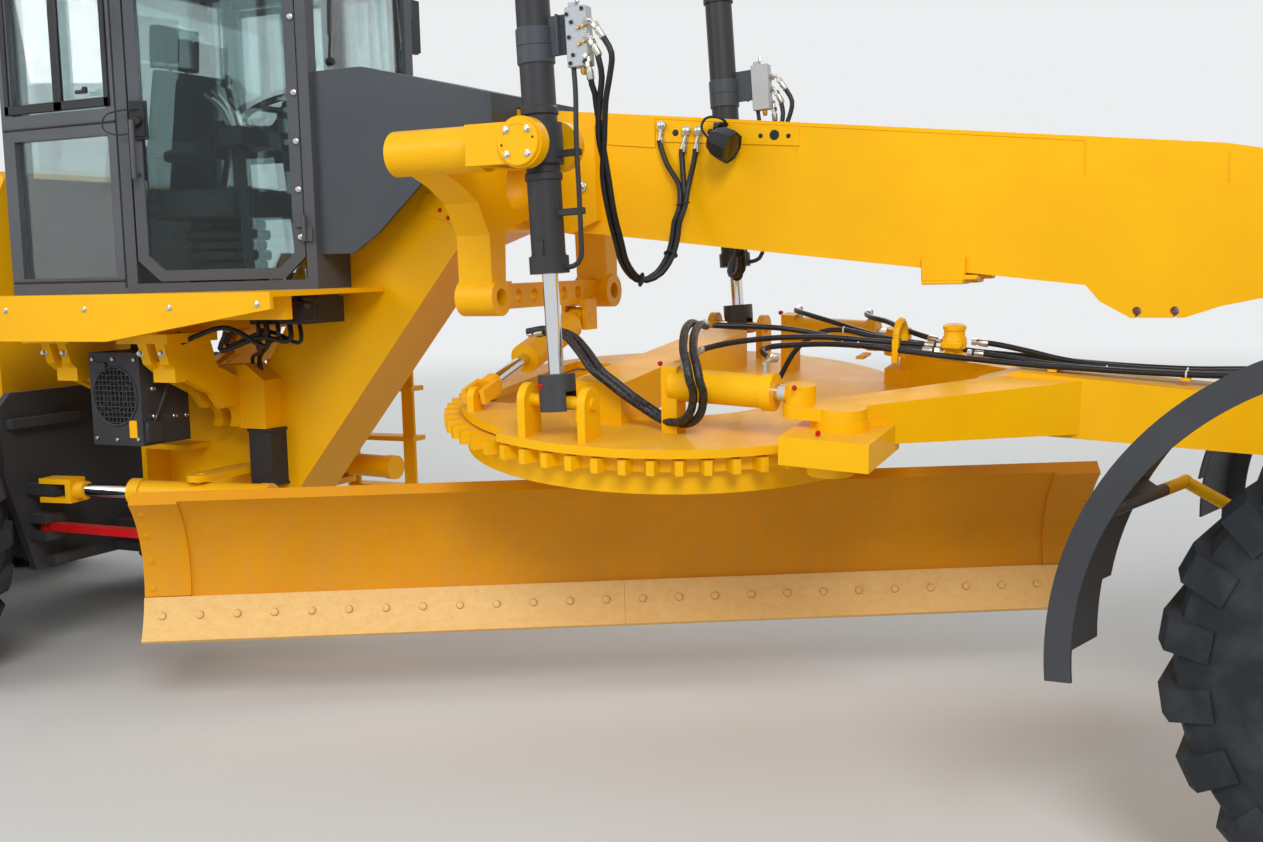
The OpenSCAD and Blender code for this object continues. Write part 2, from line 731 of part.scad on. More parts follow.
yoke_x = -2820; // trunnion of a lift cylinder
yoke_y = 850;
yoke_z = 2225;
yoke_back = yoke_x - 218;
shaft_d = 90;
boss_d = 165;
arm_x = -3317;
shift_pin_d = 44;
shift_top = [arm_x, 300, 1575]; // upper pin of the centre shift cylinder
clamp_p = [480, 1690]; // Y and Z of the clamp at the foot of a swing arm

boss_len = yoke_back - seat_gap - arm_x + 114;

module saddle() {
    color(YELLOW) {
        both() {
            // swing arm with its boss, leg and inner web
            difference() {
                union() {
                    front(150, arm_x) difference() {
                        polygon([[beam_w / 2 + seat_gap, 1990], [beam_w / 2 + seat_gap, 2280],
                            [350, 2300], [560, 2335],
                            [yoke_y - 60, yoke_z + 78], [yoke_y + 50, yoke_z - 50], [720, 2110],
                                [610, 2050],
                            [clamp_p.x + 55, 1930], [clamp_p.x + 50, 1700], [clamp_p.x - 50, 1700],
                            [clamp_p.x - 60, 1940], [beam_w / 2 + 110, 1990]]);
                        translate([310, 2120]) circle(r = 95);
                    }
                    translate([arm_x - 114, yoke_y, yoke_z]) rotate([0, 90, 0])
                        cylinder(h = boss_len, d = boss_d);
                    translate([arm_x - 85, clamp_p.x, clamp_p.y]) rotate([0, 90, 0])
                        cylinder(h = 170, d = 145);
                }
                translate([arm_x - 74, yoke_y, yoke_z]) rotate([0, 90, 0])
                    cylinder(h = 600, d = shaft_d + 0.1);
                translate([arm_x - 100, clamp_p.x, clamp_p.y]) rotate([0, 90, 0])
                    cylinder(h = 200, d = 70.1);
            }
            // vertical pad on the beam's side
            side(40, beam_w / 2 + 20 + seat_gap) polygon([[-3400, 2000], [-3400, 2290], [-3330, 2318],
                [-2960, 2350], [-2960, 1980], [-3080, 1930]]);
        }
        // link bar with its pin holes
        difference() {
            box([arm_x - 25, -clamp_p.x + 52, clamp_p.y - 50],
                [arm_x + 25, clamp_p.x - 52, clamp_p.y + 50]);
            for (i = [-2 : 2]) translate([arm_x - 40, i * 125, clamp_p.y]) rotate([0, 90, 0])
                cylinder(h = 80, d = 56);
        }
        // lugs for the centre shift cylinder, on a saddle block under the link bar
        box([arm_x - 62, shift_top.y - 50, clamp_p.y - 60], [arm_x + 62, shift_top.y + 50, clamp_p.y - 30]);
        for (dx = [-62, 42]) difference() {
            box([arm_x + dx, shift_top.y - 50, shift_top.z - 50],
                [arm_x + dx + 20, shift_top.y + 50, clamp_p.y - 50]);
            translate([arm_x - 100, shift_top.y, shift_top.z]) rotate([0, 90, 0])
                cylinder(h = 200, d = shift_pin_d + 0.1);
        }
        both() yoke();
    }
}

// Yoke about the X axis in the swing arm, with a bearing on each side of the barrel
module yoke() {
    color(YELLOW) {
        difference() {
            union() {
                translate([arm_x - 74, yoke_y, yoke_z]) rotate([0, 90, 0])
                    cylinder(h = yoke_back - arm_x + 90, d = shaft_d);
                box([yoke_back, yoke_y - 150, yoke_z - 70], [yoke_back + 58, yoke_y + 150, yoke_z + 70]);
                for (s = [-1, 1]) {
                    box([yoke_back + 50, yoke_y + s * 125 - 25, yoke_z - 70],
                        [yoke_x, yoke_y + s * 125 + 25, yoke_z + 70]);
                    ypin(yoke_x, yoke_y + s * 125, yoke_z, 175, 50);
                    ypin(yoke_x, yoke_y + s * 155, yoke_z, 160, 16);
                }
            }
            ypin(yoke_x, yoke_y, yoke_z, 60.1, 240);
        }
    }
}

axle_end = kingpin_y;
knuckle_h = 230;
kingpin_d = 60;

module front_axle() {
    color(YELLOW) {
        difference() {
            union() {
                front(2 * axle_slot - 2 * run, 0)
                    polygon([[-axle_end + 90, 610], [-300, 590], [300, 590], [axle_end - 90, 610],
                    [axle_end - 60, 620], [axle_end - 60, 730], [axle_end - 120, 760], [260, 840],
                        [-260, 840],
                    [-axle_end + 120, 760], [-axle_end + 60, 730], [-axle_end + 60, 620]]);
                both() translate([0, axle_end, tyre_r - 75]) cylinder(h = 150, d = 130);
            }
            both() translate([0, axle_end, tyre_r - 100]) cylinder(h = 200, d = kingpin_d + 0.1);
            translate([-200, 0, pivot_z]) rotate([0, 90, 0]) cylinder(h = 400, d = 90.1);
        }
        // pivot pin through both lugs
        translate([-210, 0, pivot_z]) rotate([0, 90, 0]) cylinder(h = 430, d = 90);
    }
}

module lamps_and_mirrors() {
    color(DARK) {
        // mirrors on arms from under the roof's edge, ahead of the doors
        both() {
            in_wall(corner_b, corner_c) box([400, -45, head_z - 30], [480, -15, head_z - seat_gap]);
            bar([-4506, -573, head_z - 16], [-4715, -1090, head_z - 16], 24);
            box([-4740, -1180, head_z - 300], [-4690, -1000, head_z - 14]);
        }
        // work lamps: on the beam, under the platform's corners and on the roof
        both() {
            box([-4160, 520, 1590], [-4060, 620, cab_floor - seat_gap - 20]);
            box([-4700, 560, cab_roof], [-4620, 700, cab_roof + 90]);
        }
        both() box([-2480, beam_w / 2 + seat_gap, 2190], [-2390, beam_w / 2 + 110, 2315]);
        translate([-5300, 0, cab_roof]) cylinder(h = 130, d = 110);
    }
}

// Steered knuckle with fork, spindle, steering arm and fender, drawn with +Y outward
fender_from = 45;
fender_to = 184;
fender_in = 200; // kingpin to the fender's inner edge
fender_t = 8;
spindle_end = wheel_y - kingpin_y + rim_dish - 11 - seat_gap;

module knuckle() {
    color(YELLOW) {
        translate([0, 0, -knuckle_h / 2]) cylinder(h = knuckle_h, d = kingpin_d);
        for (z = [-knuckle_h / 2, knuckle_h / 2 - 34]) translate([0, 0, z]) linear_extrude(34) {
            circle(d = 120);
            translate([-60, 0]) square([120, 100]);
        }
        box([-60, 72, -knuckle_h / 2], [60, 112, knuckle_h / 2]);
        ypin(0, (spindle_end + 100) / 2, 0, 110, spindle_end - 100);
        ypin(0, 118, 0, 190, 24);
        translate([0, 0, -knuckle_h / 2]) linear_extrude(30) {
            translate([-steer_arm, 0]) circle(d = 70);
            translate([-steer_arm, -28]) square([steer_arm - 40, 56]);
        }
    }
    color(DARK) {
        // stays that carry the fender, one behind and one above the wheel
        for (a = [150, 100]) {
            q = [cos(a) * (fender_r - 60), 20, sin(a) * (fender_r - 60)];
            bar([cos(a) * 70, 20, knuckle_h / 2 - 20], q, 38);
            translate(q) sphere(d = 44);
            bar(q, [q.x, fender_in + 5 - seat_gap, q.z], 38);
        }
    }
}

module fender_ring(r0, r1, a0, a1) {
    intersection() {
        difference() {
            circle(r = r1, $fn = 128);
            circle(r = r0, $fn = 128);
        }
        polygon(concat([[0, 0]],
            [for (i = [0 : 6]) 2 * r1 * [cos(a0 + (a1 - a0) * i / 6), sin(a0 + (a1 - a0) * i / 6)]]));
    }
}

module fender() {
    skin_in = fender_r - fender_t;
    color(DARK) {
        side(fender_w, fender_in + fender_w / 2)
            fender_ring(skin_in, fender_r, fender_from, fender_to - 14);
        side(fender_w * 0.84, fender_in + fender_w * 0.58)
            fender_ring(skin_in - 1, fender_r - 0.5, fender_from, fender_to - 3);
        side(10, fender_in + fender_w - 5)
            fender_ring(fender_r - 78, fender_r - 0.2, fender_from, fender_to);
        // tubes across under the skin, where the stays are bolted on
        for (a = [150, 100])
            ypin(cos(a) * (fender_r - 60), fender_in + fender_w / 2 - 10, sin(a) * (fender_r - 60), 38,
                fender_w - 30);
        for (a = [150, 100]) side(fender_w - 160, fender_in + fender_w / 2 - 20)
            fender_ring(fender_r - 70, skin_in + 1, a - 1.2, a + 1.2);
    }
}

module tie_rod() {
    z = tyre_r - knuckle_h / 2;
    q = steer_arm * [-cos(steer_rest), -sin(steer_rest)];
    a = [q.x, q.y - kingpin_y, z - 30];
    b = [q.x, q.y + kingpin_y, z - 30];
    color(DARK) {
        bar(a, b, 46);
        for (p = [a, b]) {
            translate([p.x, p.y, p.z - 28]) cylinder(h = 58 - seat_gap, d = 64);
        }
    }
}

// Wheels
module tyre_rear_right_front() {
    at_tandem(-1, 1) tyre();
}

module tyre_rear_right_back() {
    at_tandem(-1, -1) tyre();
}

module tyre_rear_left_front() {
    at_tandem(1, 1) tyre();
}

module tyre_rear_left_back() {
    at_tandem(1, -1) tyre();
}

module rim_rear_right_front() {
    at_tandem(-1, 1) rim(rim_dish);
}

module rim_rear_right_back() {
    at_tandem(-1, -1) rim(rim_dish);
}

module rim_rear_left_front() {
    at_tandem(1, 1) rim(rim_dish);
}

module rim_rear_left_back() {
    at_tandem(1, -1) rim(rim_dish);
}

wheel_out = wheel_y - kingpin_y; // kingpin to a front wheel's middle

module knuckle_right() {
    at_knuckle(-1) knuckle();
}

module knuckle_left() {
    at_knuckle(1) knuckle();
}

module fender_right() {
    at_knuckle(-1) fender();
}

module fender_left() {
    at_knuckle(1) fender();
}

module tyre_front_right() {
    at_knuckle(-1) translate([0, wheel_out, 0]) tyre();
}

module tyre_front_left() {
    at_knuckle(1) translate([0, wheel_out, 0]) tyre();
}

module rim_front_right() {
    at_knuckle(-1) translate([0, wheel_out, 0]) rim(rim_dish);
}

module rim_front_left() {
    at_knuckle(1) translate([0, wheel_out, 0]) rim(rim_dish);
}

// Drawbar group. Its own frame has the ball as origin and is tilted about the blade's direction.
module at_ball() {
    translate([-hitch_back, 0, hitch_z])
        rotate(a = draw_tilt, v = [cos(blade_angle), sin(blade_angle), 0]) children();
}

// Frame at the circle's middle, still along the machine
module at_circle() {
    at_ball() translate([-draw_len, 0, 0]) children();
}

// The same, turned so that +X runs along the blade to its left front end
module at_blade() {
    at_circle() rotate([0, 0, blade_angle]) children();
}

plate_top = -55; // upper face of the drawbar's plate
plate_low = -87;
gear_top = -95;
gear_low = -145;
skirt_low = -235;
gear_r = circle_r - 55;
blade_low = -1036; // lower edge of the blade, below the ball's plane
blade_set = -36; // lower edge from under the circle's middle, towards the front

module hitch_ball() {
    color(DARK) translate([-hitch_back, 0, hitch_z]) difference() {
        sphere(r = ball_r);
        box([ball_flat, -ball_r, -ball_r], [2 * ball_r, ball_r, ball_r]);
    }
}

// Ball of radius r about the origin, cut off flat at x in front and with a small flat behind
module socket_form(r, x) {
    front_a = acos(x / r);
    rotate([0, 90, 0]) rotate_extrude() polygon(concat([[0, x]],
        [for (i = [0 : 20]) let(a = front_a + (174 - front_a) * i / 20) r * [sin(a), cos(a)]],
            [[0, r * cos(174)]]));
}

lift_pin = [-draw_len - 86, 850, 75]; // left lift pin from the drawbar's ball
lift_pin_d = 44;
ear_out = 120; // lift pin's ears, each side of its middle
pinion = [836, 610, 80]; // place from the circle's middle, and radius
crank = 150; // length of the crank on a pinion's shaft
turn_z = 115; // height of a turn cylinder
plate_r = 880;
plate_hole = 430;
ring_in = 760;

module drawbar() {
    color(YELLOW) at_ball() {
        difference() {
            union() {
                socket_form(ball_r + 36, 20);
                side(180) polygon([[-40, -78], [-40, 78], [-300, 105], [-1250, 140], [-1420, 80],
                    [-1420, -56], [-1250, -84],
                    [-300, -84]]);
                // A-frame legs from the tongue to the plate
                for (s = [-1, 1]) hull() {
                    translate([-1150, s * 60, 28]) cube([240, 60, 190], center = true);
                    translate([-1800, s * 560, 10]) cube([60, 160, 130], center = true);
                }
            }
            socket_form(ball_r + 0.4, 21);
        }
        translate([-draw_len, 0, 0]) {
            // plate, wider where it covers the circle's teeth
            translate([0, 0, plate_low]) linear_extrude(plate_top - plate_low) difference() {
                union() {
                    circle(r = plate_r);
                    intersection() {
                        circle(r = circle_r - 10);
                        translate([-330, -1000]) square([1400, 2000]);
                    }
                }
                circle(r = plate_hole);
                // slot that the centre shift cylinder comes down into when the drawbar is raised
                translate([arm_x + hitch_back + draw_len - 92, -440]) square([184, 870]);
            }
            // shoes that guide the circle from inside
            for (a = [45 : 90 : 315]) translate([0, 0, gear_low]) linear_extrude(plate_low - gear_low)
                rotate([0, 0, a]) intersection() {
                    circle(r = ring_in - seat_gap);
                    polygon([[640, -90], [900, -120], [900, 120], [640, 90]]);
                }
            both() drive_side();
        }
        // cross beam, and outside each of its ends two ears with the lift pin
        box([lift_pin.x - 60, -620, plate_top - 1], [lift_pin.x + 130, 620, 100]);
        both() {
            for (s = [-1, 1]) front(30, lift_pin.x + s * ear_out) {
                translate([lift_pin.y, lift_pin.z]) circle(r = 58);
                translate([lift_pin.y - 58, plate_top - 1]) square([116, lift_pin.z - plate_top + 1]);
            }
            translate([lift_pin.x - ear_out - 25, lift_pin.y, lift_pin.z])
                rotate([0, 90, 0]) cylinder(h = 2 * ear_out + 50, d = lift_pin_d);
        }
        shift_lug();
    }
}

// Pinion box, crank and turn cylinder of one side, seen from the circle's middle
module drive_side() {
    translate([pinion.x, pinion.y, 0]) {
        box([-120, -170, plate_low], [190, 190, 10]);
        translate([0, 0, gear_low - 6]) cylinder(h = plate_low - gear_low + 6, r = pinion.z);
        // crank on the pinion's shaft, with the rod's eye on its end
        translate([40, 0, 10]) cylinder(h = 32, r = 90);
        translate([40, 0, 40]) linear_extrude(44) {
            circle(r = 82);
            translate([-crank, 0]) circle(r = 60);
            translate([-crank, -60]) square([crank, 120]);
        }
        translate([40 - crank, 0, 80]) cylinder(h = 2 * (turn_z - 80), d = 104);
    }
    // turn cylinder, with its rod forward
    eye = pinion.x + 40 - crank;
    bar([eye - 200, pinion.y, turn_z], [eye, pinion.y, turn_z], 56);
    bar([250, pinion.y, turn_z], [eye - 90, pinion.y, turn_z], 118);
    bar([eye - 130, pinion.y, turn_z], [eye - 90, pinion.y, turn_z], 134);
    box([220, pinion.y - 40, plate_top - 1], [280, pinion.y + 40, turn_z + 70]);
}

shift_foot = [-3200, -590, 0]; // lower pin of the centre shift cylinder from the drawbar's ball

module shift_lug() {
    translate(shift_foot) {
        rotate([90, 0, 90]) translate([0, 0, -15]) linear_extrude(30) {
            circle(r = 36);
            translate([-36, plate_top - shift_foot.z - 1]) square([72, shift_foot.z - plate_top + 1]);
        }
    }
}

skirt_r = circle_r - 90;
arm_u = 506; // inner face of a circle arm, along the blade from the circle's middle
arm_t = 60;
pitch_pin = [225, -800]; // blade pitch axis, across the blade and up
pitch_d = 70;

module turn_circle() {
    color(YELLOW) {
        at_circle() {
            difference() {
                union() {
                    translate([0, 0, gear_low]) linear_extrude(gear_top - gear_low) toothed_disc();
                    translate([0, 0, skirt_low]) cylinder(h = gear_low - skirt_low + 1, r = skirt_r);
                }
                translate([0, 0, skirt_low - 1]) cylinder(h = 300, r = ring_in);
            }
        }
        at_blade() for (s = [-1, 1]) {
            translate([s * (arm_u + arm_t / 2), 0, 0]) circle_arm();
            // pin that the carrier turns on
            translate([s * (arm_u + 1) - 75, pitch_pin.x, pitch_pin.y]) rotate([0, 90, 0])
                cylinder(h = 150, d = pitch_d);
        }
        at_blade() bar([-arm_u, 470, -420], [arm_u, 470, -420], 110);
    }
}

module toothed_disc() {
    tooth = 360 / tooth_count;
    circle(r = gear_r, $fn = 120);
    for (i = [0 : tooth_count - 1]) rotate([0, 0, i * tooth]) polygon([
        [gear_r - 10, -0.30 * tooth * gear_r * PI / 180], [circle_r, -0.14 * tooth * gear_r * PI / 180],
        [circle_r, 0.14 * tooth * gear_r * PI / 180], [gear_r - 10, 0.30 * tooth * gear_r * PI / 180]]);
}

// Arm that reaches from the circle's rear side down behind the moldboard
module circle_arm() {
    front(arm_t) difference() {
        polygon([[380, skirt_low + 10], [700, skirt_low + 10], [660, -400], [480, -700], [330, -870],
            [225, -885],
            [150, -840], [140, -760], [230, -700], [340, -560], [390, -400]]);
        translate([440, -480]) circle(r = 55);
    }
}

mold_r = 430; // radius of the moldboard's hollow face
mold_t = 18;
mold_c = [blade_set - mold_r * cos(45) - 4, blade_low + mold_r * sin(45)];
top_angle = asin((blade_low + blade_h - mold_c.y) / mold_r);
lip = [[90, -540], [120, -940]]; // low inner corners of the rail's upper and lower lip
lip_t = 20;
lip_h = 60;

// Outline across the blade: a curved strip between two radii and two angles
module strip(r0, r1, a0, a1) {
    translate(mold_c) intersection() {
        difference() {
            circle(r = r1, $fn = 120);
            circle(r = r0, $fn = 120);
        }
        polygon([[0, 0], 2 * r1 * [cos(a0), sin(a0)], 2 * r1 * [cos((a0 + a1) / 2), sin((a0 + a1) / 2)],
            2 * r1 * [cos(a1), sin(a1)]]);
    }
}

// Two rails behind the moldboard that slide in the carrier
module rail_outline(d = 0) {
    translate(lip[0] - [d, d]) square([lip_t + 2 * d, lip_h + 2 * d]);
    translate([40 - d, lip[0].y - d]) square([lip[0].x - 40 + 2 * d, 20 + 2 * d]);
    translate(lip[1] - [d, d]) square([lip_t + 2 * d, lip_h + 2 * d]);
    translate([72 - d, lip[1].y + lip_h - 20 - d]) square([lip[1].x - 72 + 2 * d, 20 + 2 * d]);
}

module moldboard() {
    color(YELLOW) at_blade() translate([blade_shift, 0, 0]) {
        front(blade_len) strip(mold_r, mold_r + mold_t, -41, top_angle);
        front(blade_len - 500) rail_outline();
        // end plates on the hollow face, above the cutting edges
        for (s = [-1, 1]) front(190, s * (blade_len / 2 - 95))
            strip(mold_r - 12, mold_r + 1, -18.6, top_angle);
        front(blade_len - 2) strip(mold_r + mold_t - 1, mold_r + mold_t + 30, top_angle - 5, top_angle);
    }
}

module cutting_edges() {
    pitch = blade_len / 2 / edge_bolts;
    color(EDGE) at_blade() translate([blade_shift, 0, 0]) for (s = [-1, 1]) difference() {
        front(blade_len / 2 - 1, s * blade_len / 4) strip(mold_r - 22, mold_r - seat_gap, -45, -19);
        for (i = [0 : edge_bolts - 1]) translate([s * (i + 0.5) * pitch, mold_c.x, mold_c.y])
            rotate([-30, 0, 0]) translate([0, mold_r - 26, 0]) rotate([-90, 0, 0]) cylinder(h = 12, d = 34);
    }
}

module blade_carrier() {
    color(YELLOW) at_blade() {
        for (s = [-1, 1]) front(60, s * (arm_u - run - 30)) difference() {
            polygon([[66, -455], [240, -455], [310, -640], [310, -880], [250, -975], [96, -975], [96, -870],
                [128, -860], [128, -560], [66, -550]]);
            rail_outline(seat_gap);
            translate([40, -560]) square([66, 30]);
            translate([60, -890]) square([60, 40]);
            translate(pitch_pin) circle(d = pitch_d + 0.1);
        }
        bar([-arm_u + 50, 235, -620], [arm_u - 50, 235, -620], 90);
    }
}

// Cylinders. Each is drawn from its barrel's pin p towards its rod's eye q.
function tilted(p) = let(u = [cos(blade_angle), sin(blade_angle), 0])
    p * cos(draw_tilt) + cross(u, p) * sin(draw_tilt) + u * (u * p) * (1 - cos(draw_tilt));
function from_ball(p) = [-hitch_back, 0, hitch_z] + tilted(p);
function lift_top(s) = [yoke_x, s * yoke_y, yoke_z];
function lift_foot(s) = from_ball([lift_pin.x, s * lift_pin.y, lift_pin.z]);

lift_back = 775;
lift_reach = 445;
fork_half = 38; // lift fork's opening, from its pin's middle

module lift_barrel(s) {
    p = lift_top(s);
    color(DARK) difference() {
        union() {
            translate(p) aim(lift_foot(s) - p) {
                translate([0, 0, -lift_back]) cylinder(h = lift_back + lift_reach, d = lift_d);
                translate([0, 0, lift_reach - 60]) cylinder(h = 60, d = lift_d + 20);
                translate([0, 0, -lift_back - 14]) cylinder(h = 50, d = lift_d + 14);
                translate([0, 0, -70]) cylinder(h = 140, d = lift_d + 30);
            }
            ypin(p.x, p.y, p.z, 60, 238);
        }
        translate(p) aim(lift_foot(s) - p) translate([0, 0, -lift_back + 30])
            cylinder(h = 3000, d = lift_rod_d + 0.1);
    }
}

module lift_rod(s) {
    p = lift_top(s);
    q = lift_foot(s);
    long = norm(q - p);
    translate(p) aim(q - p) {
        color(CHROME) translate([0, 0, 120]) cylinder(h = long - 70 - 120, d = lift_rod_d);
    }
    // fork that straddles the drawbar's pin
    color(DARK) difference() {
        translate(p) aim(q - p) translate([0, 0, long - 96]) cylinder(h = 130, d = 132);
        translate(q) box([-100, -fork_half, -80], [100, fork_half, fork_half]);
    }
}

module lift_barrel_right() {
    lift_barrel(-1);
}

module lift_barrel_left() {
    lift_barrel(1);
}

module lift_rod_right() {
    lift_rod(-1);
}

module lift_rod_left() {
    lift_rod(1);
}

bend_back = 350;
bend_reach = 360;
bend_rod_d = 60;
fork_gap = 31; // half the free height between a fork's plates

module at_bend() {
    translate([bend_x, bend_y, bend_z]) aim([clevis_x - bend_x, clevis_y - bend_y, 0]) children();
}
bend_len = norm([clevis_x - bend_x, clevis_y - bend_y]);

module bend_barrel_left() {
    color(YELLOW) difference() {
        union() {
            at_bend() {
                translate([0, 0, -bend_back]) cylinder(h = bend_back + bend_reach, d = bend_d);
                translate([0, 0, bend_reach - 60]) cylinder(h = 60, d = bend_d + 16);
                translate([0, 0, -bend_back - 14]) cylinder(h = 50, d = bend_d + 8);
            }
            translate([bend_x, bend_y, bend_z - 84]) cylinder(h = 168, d = trunnion_d);
        }
        at_bend() translate([0, 0, -bend_back + 30]) cylinder(h = 3000, d = bend_rod_d + 0.1);
    }
}

module bend_barrel_right() {
    mirror([0, 1, 0]) bend_barrel_left();
}

module bend_rod_left() {
    color(CHROME) at_bend() translate([0, 0, 30]) cylinder(h = bend_len - 150 - 30, d = bend_rod_d);
    color(YELLOW) at_bend() {
        translate([0, 0, bend_len - 175]) cylinder(h = 75, d = 84);
        // fork plates above and below the rear frame's lug
        for (s = [-1, 1]) translate([s * (fork_gap + 12) - 12, -50, bend_len - 120]) cube([24, 100, 170]);
        translate([-fork_gap - 24, -50, bend_len - 125]) cube([2 * fork_gap + 48, 100, 30]);
    }
}

module bend_rod_right() {
    mirror([0, 1, 0]) bend_rod_left();
}

shift_reach = 520;
shift_d = 124;
shift_rod_d = 50;
function shift_eye() = from_ball(shift_foot);
shift_vec = shift_eye() - shift_top;

module shift_barrel() {
    color(YELLOW) {
        difference() {
            translate([arm_x - 35, shift_top.y, shift_top.z]) rotate([0, 90, 0]) cylinder(h = 70, r = 48);
            shift_body(shift_rod_d + 0.1, 3000, 140);
        }
        difference() {
            union() {
                shift_body(70, 130, 30);
                shift_body(shift_d, shift_reach, 105);
            }
            shift_body(shift_rod_d + 0.1, 3000, 140);
        }
        translate([arm_x - 64, shift_top.y, shift_top.z]) rotate([0, 90, 0])
            cylinder(h = 128, d = shift_pin_d);
    }
}

// Round body along the centre shift cylinder, from the distance a on
module shift_body(d, long, a) {
    translate(shift_top) aim(shift_vec) translate([0, 0, a]) cylinder(h = long - a, d = d);
}

module shift_rod() {
    long = norm(shift_vec);
    color(CHROME) translate(shift_top) aim(shift_vec) translate([0, 0, 240])
        cylinder(h = long - 110 - 240, d = shift_rod_d);
    // open fork about the drawbar's lug
    color(YELLOW) translate(shift_top) aim(shift_vec) {
        translate([0, 0, long - 150]) cylinder(h = 40, d = 76);
        translate([-28, -50, long - 112]) cube([56, 100, 26]);
        for (s = [-1, 1]) translate([-28, s * 40 - 10, long - 112]) cube([56, 20, 124]);
    }
}

module place() {
    translate([origin_x, 0, 0]) children();
}

place() rear_frame();
place() tow_jaw();
place() hood();
place() engine_block();
place() exhaust();
place() tandem_axle();
place() tyre_rear_right_front();
place() tyre_rear_right_back();
place() tyre_rear_left_front();
place() tyre_rear_left_back();
place() rim_rear_right_front();
place() rim_rear_right_back();
place() rim_rear_left_front();
place() rim_rear_left_back();
place() front_frame();
place() cab_frame();
place() cab_glass();
place() cab_platform();
place() neck_cover();
place() seat();
place() controls();
place() cooler_box();
place() saddle();
place() front_axle();
place() lamps_and_mirrors();
place() lock_bar();
place() door_frame_right();
place() door_frame_left();
place() door_glass_right();
place() door_glass_left();
place() knuckle_right();
place() knuckle_left();
place() tie_rod();
place() tyre_front_right();
place() tyre_front_left();
place() rim_front_right();
place() rim_front_left();
place() hitch_ball();
place() drawbar();
place() turn_circle();
place() blade_carrier();
place() moldboard();
place() cutting_edges();
place() lift_barrel_right();
place() lift_barrel_left();
place() lift_rod_right();
place() lift_rod_left();
place() bend_barrel_right();
place() bend_barrel_left();
place() bend_rod_right();
place() bend_rod_left();
place() shift_barrel();
place() shift_rod();
place() fender_right();
place() fender_left();
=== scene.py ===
# Looks of a motor grader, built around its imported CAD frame. Metres, +X forward, +Y left, +Z up.
import math
from itertools import product

import bpy
from mathutils import Matrix, Vector, noise


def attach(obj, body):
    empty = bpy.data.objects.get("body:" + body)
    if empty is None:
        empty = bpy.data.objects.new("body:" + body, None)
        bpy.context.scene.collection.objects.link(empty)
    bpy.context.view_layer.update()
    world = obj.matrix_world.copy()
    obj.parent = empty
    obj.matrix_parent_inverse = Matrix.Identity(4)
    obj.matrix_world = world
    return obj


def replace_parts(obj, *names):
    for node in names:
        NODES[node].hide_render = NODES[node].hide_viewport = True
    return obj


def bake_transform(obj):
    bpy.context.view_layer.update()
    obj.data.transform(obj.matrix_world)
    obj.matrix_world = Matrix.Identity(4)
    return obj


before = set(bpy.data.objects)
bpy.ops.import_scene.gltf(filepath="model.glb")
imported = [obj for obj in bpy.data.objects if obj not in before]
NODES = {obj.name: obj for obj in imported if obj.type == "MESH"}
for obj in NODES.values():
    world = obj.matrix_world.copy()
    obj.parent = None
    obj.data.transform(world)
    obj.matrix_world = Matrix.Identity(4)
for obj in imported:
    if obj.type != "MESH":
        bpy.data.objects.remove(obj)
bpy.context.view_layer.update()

# The details are drawn in machine millimetres: zero at the front axle, X forward, Y left and Z up.
# The model's middle is this far behind the axle.
MACHINE_X = 3940.0
HERE = Matrix.Identity(4)
X_AXIS, Y_AXIS, Z_AXIS = (1, 0, 0), (0, 1, 0), (0, 0, 1)
SIDES = {-1: "right", 1: "left"}
BEAM_HALF = 150


def in_metres(place):
    """A place in machine millimetres as the model's metres."""
    return (place.x + MACHINE_X) / 1000, place.y / 1000, place.z / 1000


def turned_about(axis, degrees):
    """A turn about a direction through zero."""
    return Matrix.Rotation(math.radians(degrees), 4, Vector(axis))


def shifted(x, y, z):
    """A move without a turn."""
    return Matrix.Translation((x, y, z))


def aimed(start, end):
    """Frame at start with its Z axis towards end."""
    start, end = Vector(start), Vector(end)
    z = (end - start).normalized()
    side = Vector(X_AXIS) if abs(z.x) < 0.9 else Vector(Y_AXIS)
    y = z.cross(side).normalized()
    x = y.cross(z)
    return Matrix.Translation(start) @ Matrix((x, y, z)).transposed().to_4x4()


# Frames of the pieces that lie aslant: the drawbar tilts about its ball, and the blade turns with the circle
BLADE_ANGLE = 29.4
DRAWBAR_TILT = 6.87
BALL_TO_CIRCLE = 2600
CIRCLE_TO_BLADE = 242
TILT_AXIS = (math.cos(math.radians(BLADE_ANGLE)), math.sin(math.radians(BLADE_ANGLE)), 0)
AT_CIRCLE = shifted(-100, 0, 1190) @ turned_about(TILT_AXIS, DRAWBAR_TILT) @ shifted(-BALL_TO_CIRCLE, 0, 0)
AT_BLADE = AT_CIRCLE @ turned_about(Z_AXIS, BLADE_ANGLE) @ shifted(-CIRCLE_TO_BLADE, 0, 0)
# Pins of the cylinders
LIFT_TOP = {-1: Vector((-2820, -850, 2225)), 1: Vector((-2820, 850, 2225))}
LIFT_FOOT = {-1: Vector((-2779.6, -861.4, 1333.6)), 1: Vector((-2774.3, 829.3, 1510.8))}
SHIFT_TOP, SHIFT_FOOT = Vector((-3317, 300, 1575)), Vector((-3296.3, -596.6, 1316.4))


def on_side(side, places):
    """Places of the left side, moved to the given side."""
    return [(x, side * y, z) for x, y, z in places]


